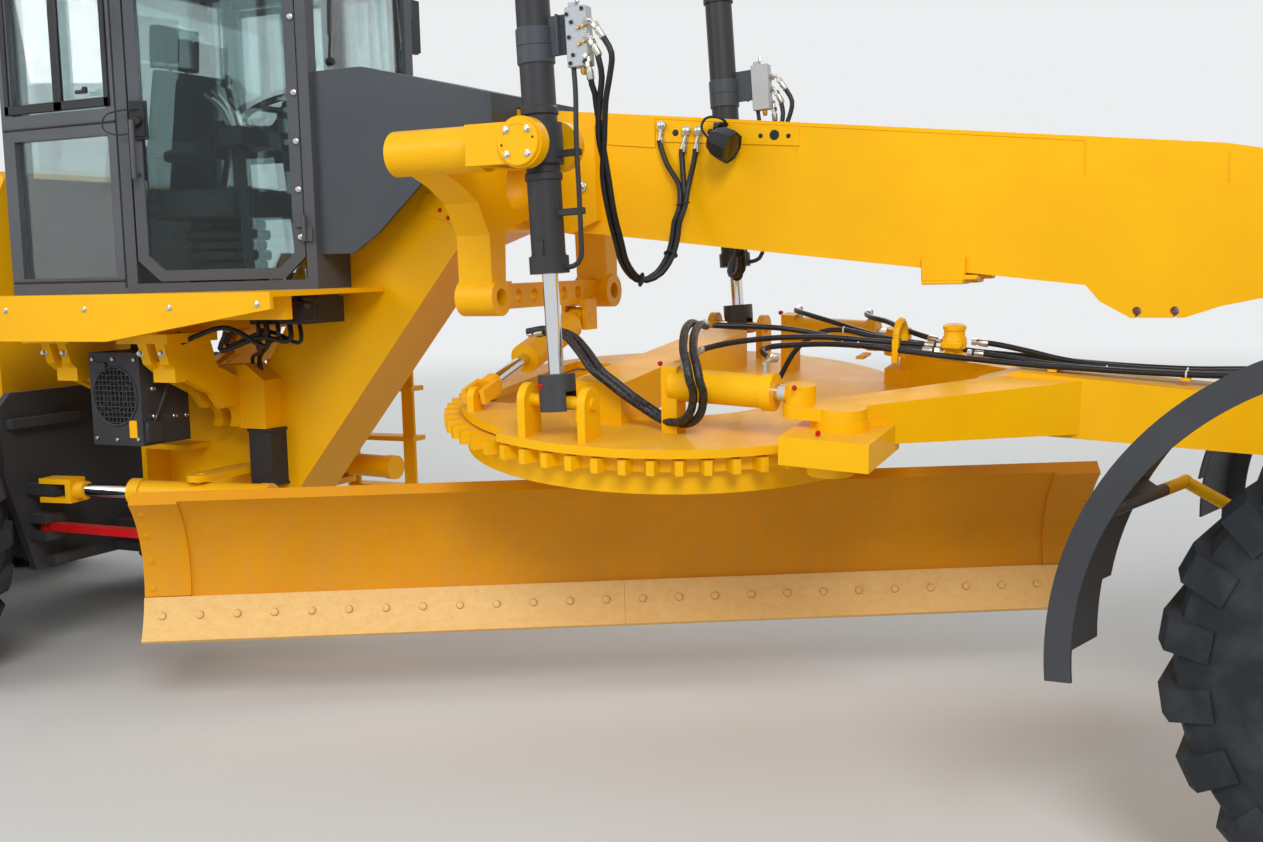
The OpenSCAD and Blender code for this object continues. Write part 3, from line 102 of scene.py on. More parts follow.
def smooth_run(points, step):
    """Points spaced along a smooth curve through the given ones."""
    points = [Vector(p) for p in points]
    ends = [points[0] * 2 - points[1]] + points + [points[-1] * 2 - points[-2]]
    run = []
    for a, b, c, d in zip(ends, ends[1:], ends[2:], ends[3:]):
        count = max(2, int((c - b).length / step))
        for i in range(count):
            t = i / count
            run.append(0.5 * ((2 * b) + (c - a) * t + (2 * a - 5 * b + 4 * c - d) * t * t
                              + (3 * b - a - 3 * c + d) * t ** 3))
    return run + [points[-1]]


class Form:
    """One piece: parts that share a finish and a body, drawn in machine millimetres."""

    def __init__(self, name, finish, sharp=38):
        self.name, self.finish, self.sharp = name, finish, sharp
        self.points, self.faces = [], []

    def join(self, at, points, faces):
        """Adds points and faces that are given in the frame at."""
        start = len(self.points)
        self.points += [at @ Vector(p) for p in points]
        self.faces += [[start + i for i in face] for face in faces]

    def skin(self, at, rings):
        """Adds a skin over rings of points, with a cap on each end."""
        sides, last = len(rings[0]), len(rings) - 1
        faces = []
        for ring, i in product(range(last), range(sides)):
            a, b = ring * sides + i, ring * sides + (i + 1) % sides
            faces.append([a, b, b + sides, a + sides])
        faces.append(list(range(sides))[::-1])
        faces.append([last * sides + i for i in range(sides)])
        self.join(at, [p for ring in rings for p in ring], faces)

    def block(self, corner, opposite, at=HERE, edge=4.0):
        """A plate or box between two opposite corners, with broken edges."""
        low, high = (Vector([pick(pair) for pair in zip(corner, opposite)]) for pick in (min, max))
        middle, half = (low + high) / 2, (high - low) / 2
        edge = min(edge, *(0.45 * h for h in half))
        points, where = [], {}
        corners = list(product((-1, 1), repeat=3))
        for signs, k in product(corners, range(3)):
            where[signs, k] = len(points)
            inset = [0 if j == k else edge for j in range(3)]
            points.append([middle[j] + signs[j] * (half[j] - inset[j]) for j in range(3)])

        def point(k, own, following, last, on):
            """Index of the point on axis on, at the corner with these signs along k and the next two axes."""
            return where[tuple((own, following, last)[(j - k) % 3] for j in range(3)), on]

        faces = []
        around = ((-1, -1), (1, -1), (1, 1), (-1, 1))
        for k in range(3):
            u, v = (k + 1) % 3, (k + 2) % 3
            for way in (-1, 1):
                faces.append([point(k, way, a, b, k) for a, b in around][::way])
            for a, b in around:
                ring = [point(k, w, a, b, on) for w, on in ((-1, u), (1, u), (1, v), (-1, v))]
                faces.append(ring[::-a * b])
        for signs in corners:
            faces.append([where[signs, k] for k in range(3)][::math.prod(signs)])
        self.join(at, points, faces)

    def turned(self, outline, at=HERE, sides=20, phase=0.0):
        """A round or many-sided part about Z. outline lists radius and height from its foot to its top."""
        angles = [2 * math.pi * (i + phase) / sides for i in range(sides)]
        self.skin(at, [[(r * math.cos(a), r * math.sin(a), z) for a in angles] for r, z in outline])

    def plate(self, outline, thick, at=HERE, edge=1.5):
        """A flat plate in X and Y, from Z 0 up, with its upper edge broken. outline runs anticlockwise."""
        inner = []
        for i in range(len(outline)):
            a, b, c = (Vector(outline[j % len(outline)]) for j in (i - 1, i, i + 1))
            n1 = Vector((a.y - b.y, b.x - a.x)).normalized()
            n2 = Vector((b.y - c.y, c.x - b.x)).normalized()
            inner.append(b + (n1 + n2) * (edge / max(0.3, 1 + n1.dot(n2))))
        levels = ((outline, 0), (outline, thick - edge), (inner, thick))
        self.skin(at, [[(*p, z) for p in ring] for ring, z in levels])

    def tube(self, points, radius, at=HERE, sides=12, step=18.0):
        """A round run closed at both ends: straight between two points, else a smooth curve."""
        run = smooth_run(points, step) if len(points) > 2 else [Vector(p) for p in points]
        across = (run[1] - run[0]).normalized().orthogonal().normalized()
        angles = [2 * math.pi * k / sides for k in range(sides)]
        rings = []
        for i, place in enumerate(run):
            ahead = (run[min(i + 1, len(run) - 1)] - run[max(i - 1, 0)]).normalized()
            across = (across - ahead * across.dot(ahead)).normalized()
            other = ahead.cross(across)
            rings.append([place + radius * (across * math.cos(a) + other * math.sin(a)) for a in angles])
        self.skin(at, rings)

    def bolt(self, at, radius):
        """A hexagon head on its washer."""
        r = radius
        self.turned([(r * 1.45, 0), (r * 1.45, r * 0.18), (r * 1.3, r * 0.26)], at, 16)
        self.turned([(r, r * 0.26), (r, r * 1.1), (r * 0.82, r * 1.24)], at, 6)

    def screw(self, at, radius):
        """A socket screw's round head with its dark recess."""
        r = radius
        self.turned([(r, 0), (r, r * 0.9), (r * 0.86, r * 1.05), (r * 0.5, r * 1.05),
                     (r * 0.45, r * 0.5)], at, 14)

    def done(self, body, slot):
        """Makes the piece in metres."""
        mesh = bpy.data.meshes.new(self.name)
        mesh.from_pydata([in_metres(p) for p in self.points], [], self.faces)
        mesh.validate()
        mesh.update()
        mesh.shade_smooth()
        mesh.set_sharp_from_angle(angle=math.radians(self.sharp))
        mesh.materials.append(MATERIALS[self.finish])
        piece = bpy.data.objects.new(self.name, mesh)
        bpy.context.scene.collection.objects.link(piece)
        if body:
            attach(piece, body)
        return piece


# Camera of the photograph: place in metres, turns, and focal length in pixels of its width
CAMERA_PLACE = Vector((3.576, -5.133, 1.81))
CAMERA_YAW = math.radians(26.5)
CAMERA_PITCH = math.radians(6.44)
CAMERA_ROLL = math.radians(1.45)
FOCAL_PX = 1400.0
IMAGE_WIDTH_PX = 1263.0
SENSOR_MM = 36.0


def make_camera():
    """The photograph's camera."""
    ahead = Vector((-math.sin(CAMERA_YAW), math.cos(CAMERA_YAW), 0))
    across = Vector((math.cos(CAMERA_YAW), math.sin(CAMERA_YAW), 0))
    up = Vector(Z_AXIS)
    look = ahead * math.cos(CAMERA_PITCH) - up * math.sin(CAMERA_PITCH)
    top = ahead * math.sin(CAMERA_PITCH) + up * math.cos(CAMERA_PITCH)
    right = across * math.cos(CAMERA_ROLL) - top * math.sin(CAMERA_ROLL)
    top = top * math.cos(CAMERA_ROLL) + across * math.sin(CAMERA_ROLL)
    data = bpy.data.cameras.new("photo_camera")
    data.sensor_width = SENSOR_MM
    data.lens = FOCAL_PX * SENSOR_MM / IMAGE_WIDTH_PX
    data.clip_start, data.clip_end = 0.05, 200
    camera = bpy.data.objects.new("photo_camera", data)
    turn = Matrix((right, top, -look)).transposed()
    camera.matrix_world = Matrix.Translation(CAMERA_PLACE) @ turn.to_4x4()
    bpy.context.scene.collection.objects.link(camera)
    bpy.context.scene.camera = camera


# Colours are sRGB hex values
def linear(hex_value, alpha=1.0):
    """An sRGB hex colour as linear red, green, blue and alpha."""
    parts = [int(hex_value[i:i + 2], 16) / 255 for i in (1, 3, 5)]
    return tuple(c / 12.92 if c < 0.04045 else ((c + 0.055) / 1.055) ** 2.4 for c in parts) + (alpha,)


def add(tree, kind, links=None, **settings):
    """Adds a shader node of a kind. links gives its sockets, each a value or a (node, output) pair."""
    made = tree.nodes.new("ShaderNode" + kind)
    for key, value in settings.items():
        setattr(made, key, value)
    for key, value in (links or {}).items():
        if isinstance(value, tuple) and len(value) == 2 and isinstance(value[0], bpy.types.Node):
            tree.links.new(value[0].outputs[value[1]], made.inputs[key])
        else:
            made.inputs[key].default_value = value
    return made


def new_material(name):
    """An empty node material and its tree."""
    material = bpy.data.materials.new(name)
    material.use_nodes = True
    material.node_tree.nodes.clear()
    return material, material.node_tree


def finished(material, shader):
    """The material, with the shader joined to its output."""
    add(material.node_tree, "OutputMaterial", {"Surface": (shader, "BSDF")})
    return material


def ramp_points(ramp, points):
    """Sets a colour ramp's two or three points, each a place from 0 to 1 and a linear colour."""
    band = ramp.color_ramp
    while len(band.elements) < len(points):
        band.elements.new(1.0)
    for element, (place, colour) in zip(band.elements, points):
        element.position = place
        element.color = colour


def repeats(grain_mm, coarser):
    """Scale of a pattern with this grain, drawn this many times as coarse so that it shows in the render."""
    return 1000 / grain_mm / coarser


# Sizes in millimetres of the enamel's orange peel and of the nylon strands. Other scales are repeats a metre:
# 1.6 gives patches of about 600 mm, 9 clouds of grit of 110 mm and 14 streaks that are 70 mm wide.
PEEL_MM = 2.5
STRAND_MM = 6.0


def enamel(name, colour, faded, dust, roughness, dust_amount=0.35, dust_height=0.9, streaks=0.0):
    """Sprayed alkyd enamel on welded plate: soft gloss, slight orange peel, faint mottling, dust low down."""
    material, tree = new_material(name)
    where = (add(tree, "TexCoord"), "Object")
    broad = add(tree, "TexNoise", {"Vector": where, "Scale": 1.6, "Detail": 5.0, "Roughness": 0.6})
    mottle = add(tree, "ValToRGB", {"Fac": (broad, "Fac")})
    ramp_points(mottle, [(0.36, linear(faded)), (0.62, linear(colour))])
    height = add(tree, "SeparateXYZ", {"Vector": where})
    low = add(tree, "MapRange", {"Value": (height, "Z"), "From Min": dust_height, "From Max": 0.15,
                                 "To Min": streaks, "To Max": 1.0})
    # Rain draws the dust down the plate, in streaks about six times as long as they are wide.
    drawn = add(tree, "Mapping", {"Vector": where, "Scale": (1.0, 1.0, 0.16)})
    smears = add(tree, "TexNoise", {"Vector": (drawn, "Vector"), "Scale": 14.0, "Detail": 8.0,
                                    "Roughness": 0.7})
    patches = add(tree, "MapRange", {"Value": (smears, "Fac"), "From Min": 0.42, "From Max": 0.75,
                                     "To Max": dust_amount})
    # Dust settles on what faces the sky.
    facing = add(tree, "NewGeometry")
    upward = add(tree, "SeparateXYZ", {"Vector": (facing, "True Normal")})
    settled = add(tree, "MapRange", {"Value": (upward, "Z"), "From Min": 0.75, "From Max": 1.0,
                                     "To Max": 0.32})
    grit = add(tree, "TexNoise", {"Vector": where, "Scale": 9.0, "Detail": 8.0, "Roughness": 0.75})
    powder = add(tree, "MapRange", {"Value": (grit, "Fac"), "From Min": 0.3, "From Max": 0.7,
                                    "To Min": 0.35, "To Max": 1.0})
    top = add(tree, "Math", {0: (settled, "Result"), 1: (powder, "Result")}, operation="MULTIPLY")
    dusty = add(tree, "Math", {0: (low, "Result"), 1: (patches, "Result"), 2: (top, "Value")},
                operation="MULTIPLY_ADD")
    mixed = add(tree, "Mix", {"Factor": (dusty, "Value"), "A": (mottle, "Color"), "B": linear(dust)},
                data_type="RGBA")
    gloss = add(tree, "MapRange", {"Value": (dusty, "Value"), "From Max": 0.5, "To Min": roughness,
                                   "To Max": roughness + 0.35})
    peel = add(tree, "TexNoise", {"Vector": where, "Scale": repeats(PEEL_MM, 12), "Detail": 2.0})
    bump = add(tree, "Bump", {"Height": (peel, "Fac"), "Strength": 0.06, "Distance": 0.002})
    shader = add(tree, "BsdfPrincipled", {"Base Color": (mixed, "Result"), "Roughness": (gloss, "Result"),
                                          "Normal": (bump, "Normal"), "IOR": 1.5, "Specular IOR Level": 0.2,
                                          "Coat Weight": 0.05, "Coat Roughness": 0.12})
    return finished(material, shader)


def rubber(name, colour, dust, grain_mm, roughness):
    """Cured tyre or hose rubber: matt black with a fine grain and grey dust in its hollows."""
    material, tree = new_material(name)
    where = (add(tree, "TexCoord"), "Object")
    grit = add(tree, "TexNoise", {"Vector": where, "Scale": repeats(grain_mm, 8), "Detail": 4.0})
    broad = add(tree, "TexNoise", {"Vector": where, "Scale": 5.0, "Detail": 8.0, "Roughness": 0.65})
    tint = add(tree, "ValToRGB", {"Fac": (broad, "Fac")})
    ramp_points(tint, [(0.42, linear(colour)), (0.8, linear(dust))])
    bump = add(tree, "Bump", {"Height": (grit, "Fac"), "Strength": 0.25, "Distance": 0.002})
    shader = add(tree, "BsdfPrincipled", {"Base Color": (tint, "Color"), "Roughness": roughness,
                                          "Normal": (bump, "Normal"), "IOR": 1.5,
                                          "Specular IOR Level": 0.35})
    return finished(material, shader)


def braided_sleeve(name, colour, light):
    """Woven nylon hose sleeve: black with a coarse slanted weave, whose raised strands carry a painted sheen
    of lighter grey.
    """
    material, tree = new_material(name)
    where = (add(tree, "TexCoord"), "Object")
    weave = add(tree, "TexVoronoi", {"Vector": where, "Scale": repeats(STRAND_MM, 2)})
    # Painted sheen: the raised middle of each weave cell is coloured light grey, as if it caught the light.
    tint = add(tree, "ValToRGB", {"Fac": (weave, "Distance")})
    ramp_points(tint, [(0.1, linear(light)), (0.55, linear(colour))])
    bump = add(tree, "Bump", {"Height": (weave, "Distance"), "Strength": 0.6, "Distance": 0.003},
               invert=True)
    shader = add(tree, "BsdfPrincipled", {"Base Color": (tint, "Color"), "Roughness": 0.5,
                                          "Normal": (bump, "Normal"), "IOR": 1.53})
    return finished(material, shader)


def grained_plastic(name, colour, light, grain_mm, roughness):
    """Moulded ABS, nylon, cloth or a cast surface: an even colour with a fine leather-like grain."""
    material, tree = new_material(name)
    where = (add(tree, "TexCoord"), "Object")
    cells = add(tree, "TexVoronoi", {"Vector": where, "Scale": repeats(grain_mm, 6)})
    broad = add(tree, "TexNoise", {"Vector": where, "Scale": 3.0, "Detail": 5.0})
    tint = add(tree, "ValToRGB", {"Fac": (broad, "Fac")})
    ramp_points(tint, [(0.35, linear(colour)), (0.75, linear(light))])
    bump = add(tree, "Bump", {"Height": (cells, "Distance"), "Strength": 0.12, "Distance": 0.001})
    shader = add(tree, "BsdfPrincipled", {"Base Color": (tint, "Color"), "Roughness": roughness,
                                          "Normal": (bump, "Normal"), "IOR": 1.46,
                                          "Specular IOR Level": 0.4})
    return finished(material, shader)


def plated(name, colour, roughness, streak):
    """Hard chrome, zinc or brass: a bright metal whose gloss changes a little from place to place."""
    material, tree = new_material(name)
    where = (add(tree, "TexCoord"), "Object")
    lines = add(tree, "TexNoise", {"Vector": where, "Scale": 60.0, "Detail": 3.0})
    gloss = add(tree, "MapRange", {"Value": (lines, "Fac"), "From Min": 0.3, "From Max": 0.7,
                                   "To Min": roughness, "To Max": roughness + streak})
    shader = add(tree, "BsdfPrincipled", {"Base Color": linear(colour), "Metallic": 1.0,
                                          "Roughness": (gloss, "Result")})
    return finished(material, shader)


CHROME = "#D9DBDE"
CHROME_ROUGHNESS = 0.1


def rod_with_fork(name, start, end, fork_length, paint):
    """Hard chrome rod whose welded fork is painted: the paint begins at a set distance before the pin."""
    material, tree = new_material(name)
    pin = Vector(in_metres(end))
    back = (start - end).normalized()
    where = (add(tree, "TexCoord"), "Object")
    from_pin = add(tree, "VectorMath", {0: where, 1: pin}, operation="SUBTRACT")
    along = add(tree, "VectorMath", {0: (from_pin, "Vector"), 1: back}, operation="DOT_PRODUCT")
    bare = add(tree, "Math", {0: (along, "Value"), 1: fork_length / 1000}, operation="GREATER_THAN")
    smears = add(tree, "TexNoise", {"Vector": where, "Scale": 14.0, "Detail": 6.0})
    dull = add(tree, "MapRange", {"Value": (smears, "Fac"), "From Min": 0.3, "From Max": 0.7, "To Min": 0.4,
                                  "To Max": 0.5})
    tint = add(tree, "Mix", {"Factor": (bare, "Value"), "A": linear(paint), "B": linear(CHROME)},
               data_type="RGBA")
    gloss = add(tree, "Mix", {"Factor": (bare, "Value"), "A": (dull, "Result"), "B": CHROME_ROUGHNESS})
    shader = add(tree, "BsdfPrincipled", {"Base Color": (tint, "Result"), "Metallic": (bare, "Value"),
                                          "Roughness": (gloss, "Result")})
    return finished(material, shader)


def tinted_glass(name, colour, roughness, opacity):
    """Toughened cab glass or a moulded lens: most of the light comes straight through, coloured."""
    material, tree = new_material(name)
    shader = add(tree, "BsdfPrincipled", {"Base Color": linear(colour), "Transmission Weight": 1.0,
                                          "Roughness": roughness, "IOR": 1.5, "Alpha": opacity})
    return finished(material, shader)


def worn_edge(name, paint, bare, dust):
    """Hardened edge steel with thin paint that the first passes have scraped: ochre with pale streaks."""
    material, tree = new_material(name)
    where = (add(tree, "TexCoord"), "Object")
    drawn = add(tree, "Mapping", {"Vector": where, "Scale": (1.0, 1.0, 1.6)})
    scrape = add(tree, "TexNoise", {"Vector": (drawn, "Vector"), "Scale": 22.0, "Detail": 10.0,
                                    "Roughness": 0.8})
    tint = add(tree, "ValToRGB", {"Fac": (scrape, "Fac")})
    ramp_points(tint, [(0.3, linear(bare)), (0.5, linear(paint)), (0.72, linear(dust))])
    grit = add(tree, "TexNoise", {"Vector": where, "Scale": 90.0, "Detail": 4.0})
    bump = add(tree, "Bump", {"Height": (grit, "Fac"), "Strength": 0.15, "Distance": 0.002})
    shader = add(tree, "BsdfPrincipled", {"Base Color": (tint, "Color"), "Roughness": 0.5,
                                          "Normal": (bump, "Normal"), "Specular IOR Level": 0.35})
    return finished(material, shader)


# Each finish by the name of what the real one is: its function and that function's looks. The comments say
# what it gives the eye.
FINISHES = {
    # warm yellow over the whole machine, deeper and dustier on the blade
    "yellow_enamel": (enamel, "#F8B900", "#F2B100", "#A58B62", 0.4),
    "blade_enamel": (enamel, "#DE9604", "#D48D03", "#BE8E48", 0.46, 0.5, 1.2, 0.25),
    # dark greys of the chassis and the bluish one of the covers, and the small red parts
    "dark_enamel": (enamel, "#343437", "#3A3A3D", "#6B675F", 0.45),
    "charcoal_enamel": (enamel, "#42474D", "#484D53", "#77736B", 0.48),
    "red_enamel": (enamel, "#C41013", "#B50F12", "#8A6A5E", 0.35),
    # blue-black tyres with grey dust, glossier hoses, and the painted sheen on the woven sleeve
    "tyre_rubber": (rubber, "#1D2126", "#3F4246", 4.0, 0.75),
    "hose_rubber": (rubber, "#17171A", "#2C2D30", 2.0, 0.42),
    "hose_sleeve": (braided_sleeve, "#0F0F12", "#3A3B42"),
    # near black in the cab, mid grey outside it, and the seat's soft cloth
    "cab_plastic": (grained_plastic, "#1D1E20", "#27282B", 1.5, 0.5),
    "cover_plastic": (grained_plastic, "#4B4D52", "#53555B", 1.5, 0.42),
    "fender_plastic": (grained_plastic, "#36373B", "#404146", 2.0, 0.5),
    "seat_fabric": (grained_plastic, "#2B2D30", "#393B3F", 3.0, 0.8),
    # mirror-bright rods, satin zinc on fasteners and fittings, and brass plugs
    "hard_chrome": (plated, CHROME, CHROME_ROUGHNESS, 0.03),
    "zinc_plate": (plated, "#C9C8C0", 0.26, 0.12),
    "brass_plug": (plated, "#C6A24A", 0.3, 0.1),
    # the pale cast valve blocks, dull as zinc phosphate, and white nylon ties
    "valve_zinc": (grained_plastic, "#AEB4B9", "#BCC2C6", 2.0, 0.45),
    "white_nylon": (grained_plastic, "#D8D9D6", "#E0E1DE", 1.0, 0.5),
    # green-blue panes, the beacon's amber and the clear lenses
    "cab_glass": (tinted_glass, "#9CCBCB", 0.0, 0.42),
    "amber_lens": (tinted_glass, "#E08A1C", 0.1, 0.9),
    "lamp_glass": (tinted_glass, "#E8EEF0", 0.05, 0.8),
    # pale ochre where the blade's edges have been scraped
    "worn_edge_steel": (worn_edge, "#E6BA72", "#DDAE62", "#ECC583"),
}
MATERIALS = {name: make(name, *looks) for name, (make, *looks) in FINISHES.items()}

# Which finish each CAD node wears: the first rule whose text is in the node's name, else yellow enamel
FINISH_RULES = (
    ("tyre_", "tyre_rubber"), ("glass", "cab_glass"), ("fender", "fender_plastic"),
    ("door_frame", "cover_plastic"), ("cab_frame", "cover_plastic"), ("neck_cover", "charcoal_enamel"),
    ("cooler_box", "dark_enamel"), ("seat", "cab_plastic"), ("controls", "cab_plastic"),
    ("lock_bar", "red_enamel"), ("cutting", "worn_edge_steel"), ("moldboard", "blade_enamel"),
    ("lift_barrel", "dark_enamel"), ("tie_rod", "dark_enamel"), ("_rod", "hard_chrome"),
    ("rear_frame", "dark_enamel"), ("tandem_axle", "dark_enamel"), ("engine_block", "dark_enamel"),
    ("exhaust", "dark_enamel"), ("lamps", "cab_plastic"), ("hitch_ball", "zinc_plate"),
)
# Lengths of the painted forks from the pin, and the paints of the forks
LIFT_FORK, BEND_FORK, SHIFT_FORK = 97, 177, 152
BLACK_FORK, YELLOW_FORK = "#343437", "#F2B100"


def forked_rod_finishes():
    """The finish of each rod whose welded fork is painted, by the rod's node."""
    rods = [("shift_rod", "shift_rod_finish", SHIFT_TOP, SHIFT_FOOT, SHIFT_FORK, YELLOW_FORK)]
    for side, which in SIDES.items():
        pins = Vector((-4810, side * 500, 840)), Vector((-5600, side * 600, 840))
        rods.append((f"lift_rod_{which}", f"lift_rod_finish_{which}", LIFT_TOP[side], LIFT_FOOT[side],
                     LIFT_FORK, BLACK_FORK))
        rods.append((f"bend_rod_{which}", f"bend_rod_finish_{which}", *pins, BEND_FORK, YELLOW_FORK))
    return {node: rod_with_fork(*looks) for node, *looks in rods}


def dress_nodes():
    """Gives each CAD node its finish."""
    forked = forked_rod_finishes()
    for name, thing in NODES.items():
        finish = next((rule for part, rule in FINISH_RULES if part in name), "yellow_enamel")
        thing.data.materials.clear()
        thing.data.materials.append(forked.get(name, MATERIALS[finish]))


BACKDROP = "#ECEEEF"
FLOOR_HALF_M = 90.0
# Name, place in metres, power in watts and width in metres of each area lamp
STUDIO_LAMPS = (("key_lamp", (9, -12, 11), 1500, 6), ("fill_lamp", (-8, -11, 8), 600, 8),
                ("back_lamp", (-2, 13, 9), 500, 8))


def seen_rays(tree):
    """1 for what the camera sees, also in glass and in gloss, and 0 for light that falls on the object."""
    path = add(tree, "LightPath")
    first = add(tree, "Math", {0: (path, "Is Camera Ray"), 1: (path, "Is Glossy Ray")}, operation="MAXIMUM")
    both = add(tree, "Math", {0: (first, "Value"), 1: (path, "Is Transmission Ray")}, operation="MAXIMUM")
    return both, "Value"


def floor_material():
    """Pale studio floor that keeps the shadow near the machine and fades into the backdrop far off."""
    material, tree = new_material("studio_floor")
    where = (add(tree, "TexCoord"), "Object")
    far = add(tree, "VectorMath", {0: where}, operation="LENGTH")
    fade = add(tree, "MapRange", {"Value": (far, "Value"), "From Min": 7.0, "From Max": 24.0},
               interpolation_type="SMOOTHSTEP")
    share = add(tree, "Math", {0: (fade, "Result"), 1: seen_rays(tree)}, operation="MULTIPLY")
    surface = add(tree, "BsdfPrincipled", {"Base Color": linear("#CFD0CE"), "Roughness": 0.9})
    backdrop = add(tree, "Emission", {"Color": linear(BACKDROP), "Strength": 1.0})
    mixed = add(tree, "MixShader", {"Fac": (share, "Value"), 1: (surface, "BSDF"),
                                    2: (backdrop, "Emission")})
    add(tree, "OutputMaterial", {"Surface": (mixed, "Shader")})
    return material


def make_floor():
    """A wide floor."""
    h = FLOOR_HALF_M
    mesh = bpy.data.meshes.new("studio_floor")
    mesh.from_pydata([(-h, -h, 0), (h, -h, 0), (h, h, 0), (-h, h, 0)], [], [(0, 1, 2, 3)])
    floor = bpy.data.objects.new("studio_floor", mesh)
    mesh.materials.append(floor_material())
    bpy.context.scene.collection.objects.link(floor)


def make_world():
    """An even sky that lights the machine, and the backdrop's colour where it is seen."""
    world = bpy.data.worlds.new("studio_world")
    world.use_nodes = True
    tree = world.node_tree
    tree.nodes.clear()
    seen = add(tree, "Background", {"Color": linear(BACKDROP), "Strength": 1.0})
    lighting = add(tree, "Background", {"Color": linear("#F2F5F8"), "Strength": 0.62})
    either = add(tree, "MixShader", {"Fac": seen_rays(tree), 1: (lighting, "Background"),
                                     2: (seen, "Background")})
    add(tree, "OutputWorld", {"Surface": (either, "Shader")})
    bpy.context.scene.world = world


def make_lamps():
    """Soft area lamps that aim at a point one metre up."""
    target = Vector((0, 0, 1))
    for name, place, power, width in STUDIO_LAMPS:
        data = bpy.data.lights.new(name, "AREA")
        data.energy = power
        data.size = width
        lamp = bpy.data.objects.new(name, data)
        lamp.location = place
        lamp.rotation_euler = (target - Vector(place)).to_track_quat("-Z", "Y").to_euler()
        bpy.context.scene.collection.objects.link(lamp)


def make_stage():
    """Floor, world and lamps."""
    make_floor()
    make_world()
    make_lamps()
    bpy.context.scene.view_settings.view_transform = "Standard"


def swage(form, at, radius):
    """Swaged hose end with its hexagon nut, from the nut's foot up."""
    r = radius
    form.turned([(r * 1.25, 0), (r * 1.25, r * 1.5), (r, r * 1.7)], at, 6)
    form.turned([(r * 0.85, r * 1.6), (r * 0.85, r * 2.2), (r * 1.22, r * 2.4), (r * 1.22, r * 5.2),
                 (r * 1.05, r * 5.5)], at, 14)


def hoop(form, middle, across, radius, thick, count, turn=2 * math.pi, at=HERE, sides=8):
    """A round bar bent into a ring or an arc, standing on the level direction across."""
    stops = []
    for k in range(count + 1):
        reach, rise = radius * math.cos(turn * k / count), radius * math.sin(turn * k / count)
        stops.append((middle[0] + across[0] * reach, middle[1] + across[1] * reach, middle[2] + rise))
    for start, end in zip(stops, stops[1:]):
        form.tube([start, end], thick, at, sides)


# Lift cylinder, in its own frame: Z runs from the top pin to the foot, and Y times out points outward
VALVE_FACE = 35
VALVE_SCREWS = ((149, -416), (165, -388), (153, -339), (165, -279), (153, -253), (207, -252), (207, -428))
VALVE_PLUGS = ((192, -366), (211, -370), (192, -312), (211, -319))
# Foot, elbow and hose end of each fitting on the valve block, as X and Z of the machine
VALVE_ELBOWS_Y = 880
VALVE_ELBOWS = (((-2622, 2618), (-2596, 2622), (-2560, 2570)), ((-2622, 2566), (-2606, 2566), (-2580, 2520)),
                ((-2622, 2510), (-2612, 2500), (-2606, 2440)))
BARREL_COLLARS = ((-790, -740), (-128, -96), (96, 128))


def valve_block(side, which, axis, out):
    """Cast valve block on a lift barrel, with its bracket, screws and plugs."""
    body = f"lift_barrel_{which}"
    outward = turned_about(X_AXIS, -90 * out)
    valve = Form(f"valve_block_{which}", "valve_zinc")
    valve.block((139, out * -14, -440), (219, out * VALVE_FACE, -240), axis, 3)
    valve.block((150, out * -6, -456), (176, out * 27, -440), axis, 2)
    valve.done(body, "worn_steel")
    bracket = Form(f"valve_bracket_{which}", "charcoal_enamel")
    bracket.block((56, 0, -425), (141, out * 8, -290), axis, 2)
    bracket.block((100, out * 8, -425), (108, out * 34, -290), axis, 2)
    for z in (-395, -335):
        bracket.turned([(62, 0), (66, 4), (66, 60), (62, 64)], axis @ shifted(0, 0, z), 40)
    bracket.done(body, "dark_paint")
    screws = Form(f"valve_screws_{which}", "dark_enamel")
    for x, z in VALVE_SCREWS:
        screws.screw(axis @ shifted(x, out * VALVE_FACE, z) @ outward, 6.5)
    screws.done(body, "dark_paint")
    plugs = Form(f"valve_plugs_{which}", "brass_plug")
    for x, z in VALVE_PLUGS:
        plugs.turned([(6.5, 0), (6.5, 8), (5, 10)], axis @ shifted(x, out * VALVE_FACE, z) @ outward, 6)
    plugs.turned([(11, 0), (11, 16), (8, 26)], axis @ shifted(188, out * 10, -240), 10)
    plugs.done(body, "worn_steel")
    fittings = Form(f"valve_fittings_{which}", "zinc_plate")
    y = side * VALVE_ELBOWS_Y
    for places in VALVE_ELBOWS:
        foot, elbow, end = (Vector((x, y, z)) for x, z in places)
        fittings.turned([(15, 0), (15, 12), (12, 15)], aimed(foot, elbow), 6)
        fittings.tube([foot, elbow, end], 8, sides=10)
        swage(fittings, aimed(elbow.lerp(end, 0.25), end), 11)
    fittings.turned([(9, 0), (9, 12), (6, 20), (6, 30)],
                    axis @ shifted(180, out * 10, -456) @ turned_about(X_AXIS, 180), 8)
    fittings.done(body, "worn_steel")


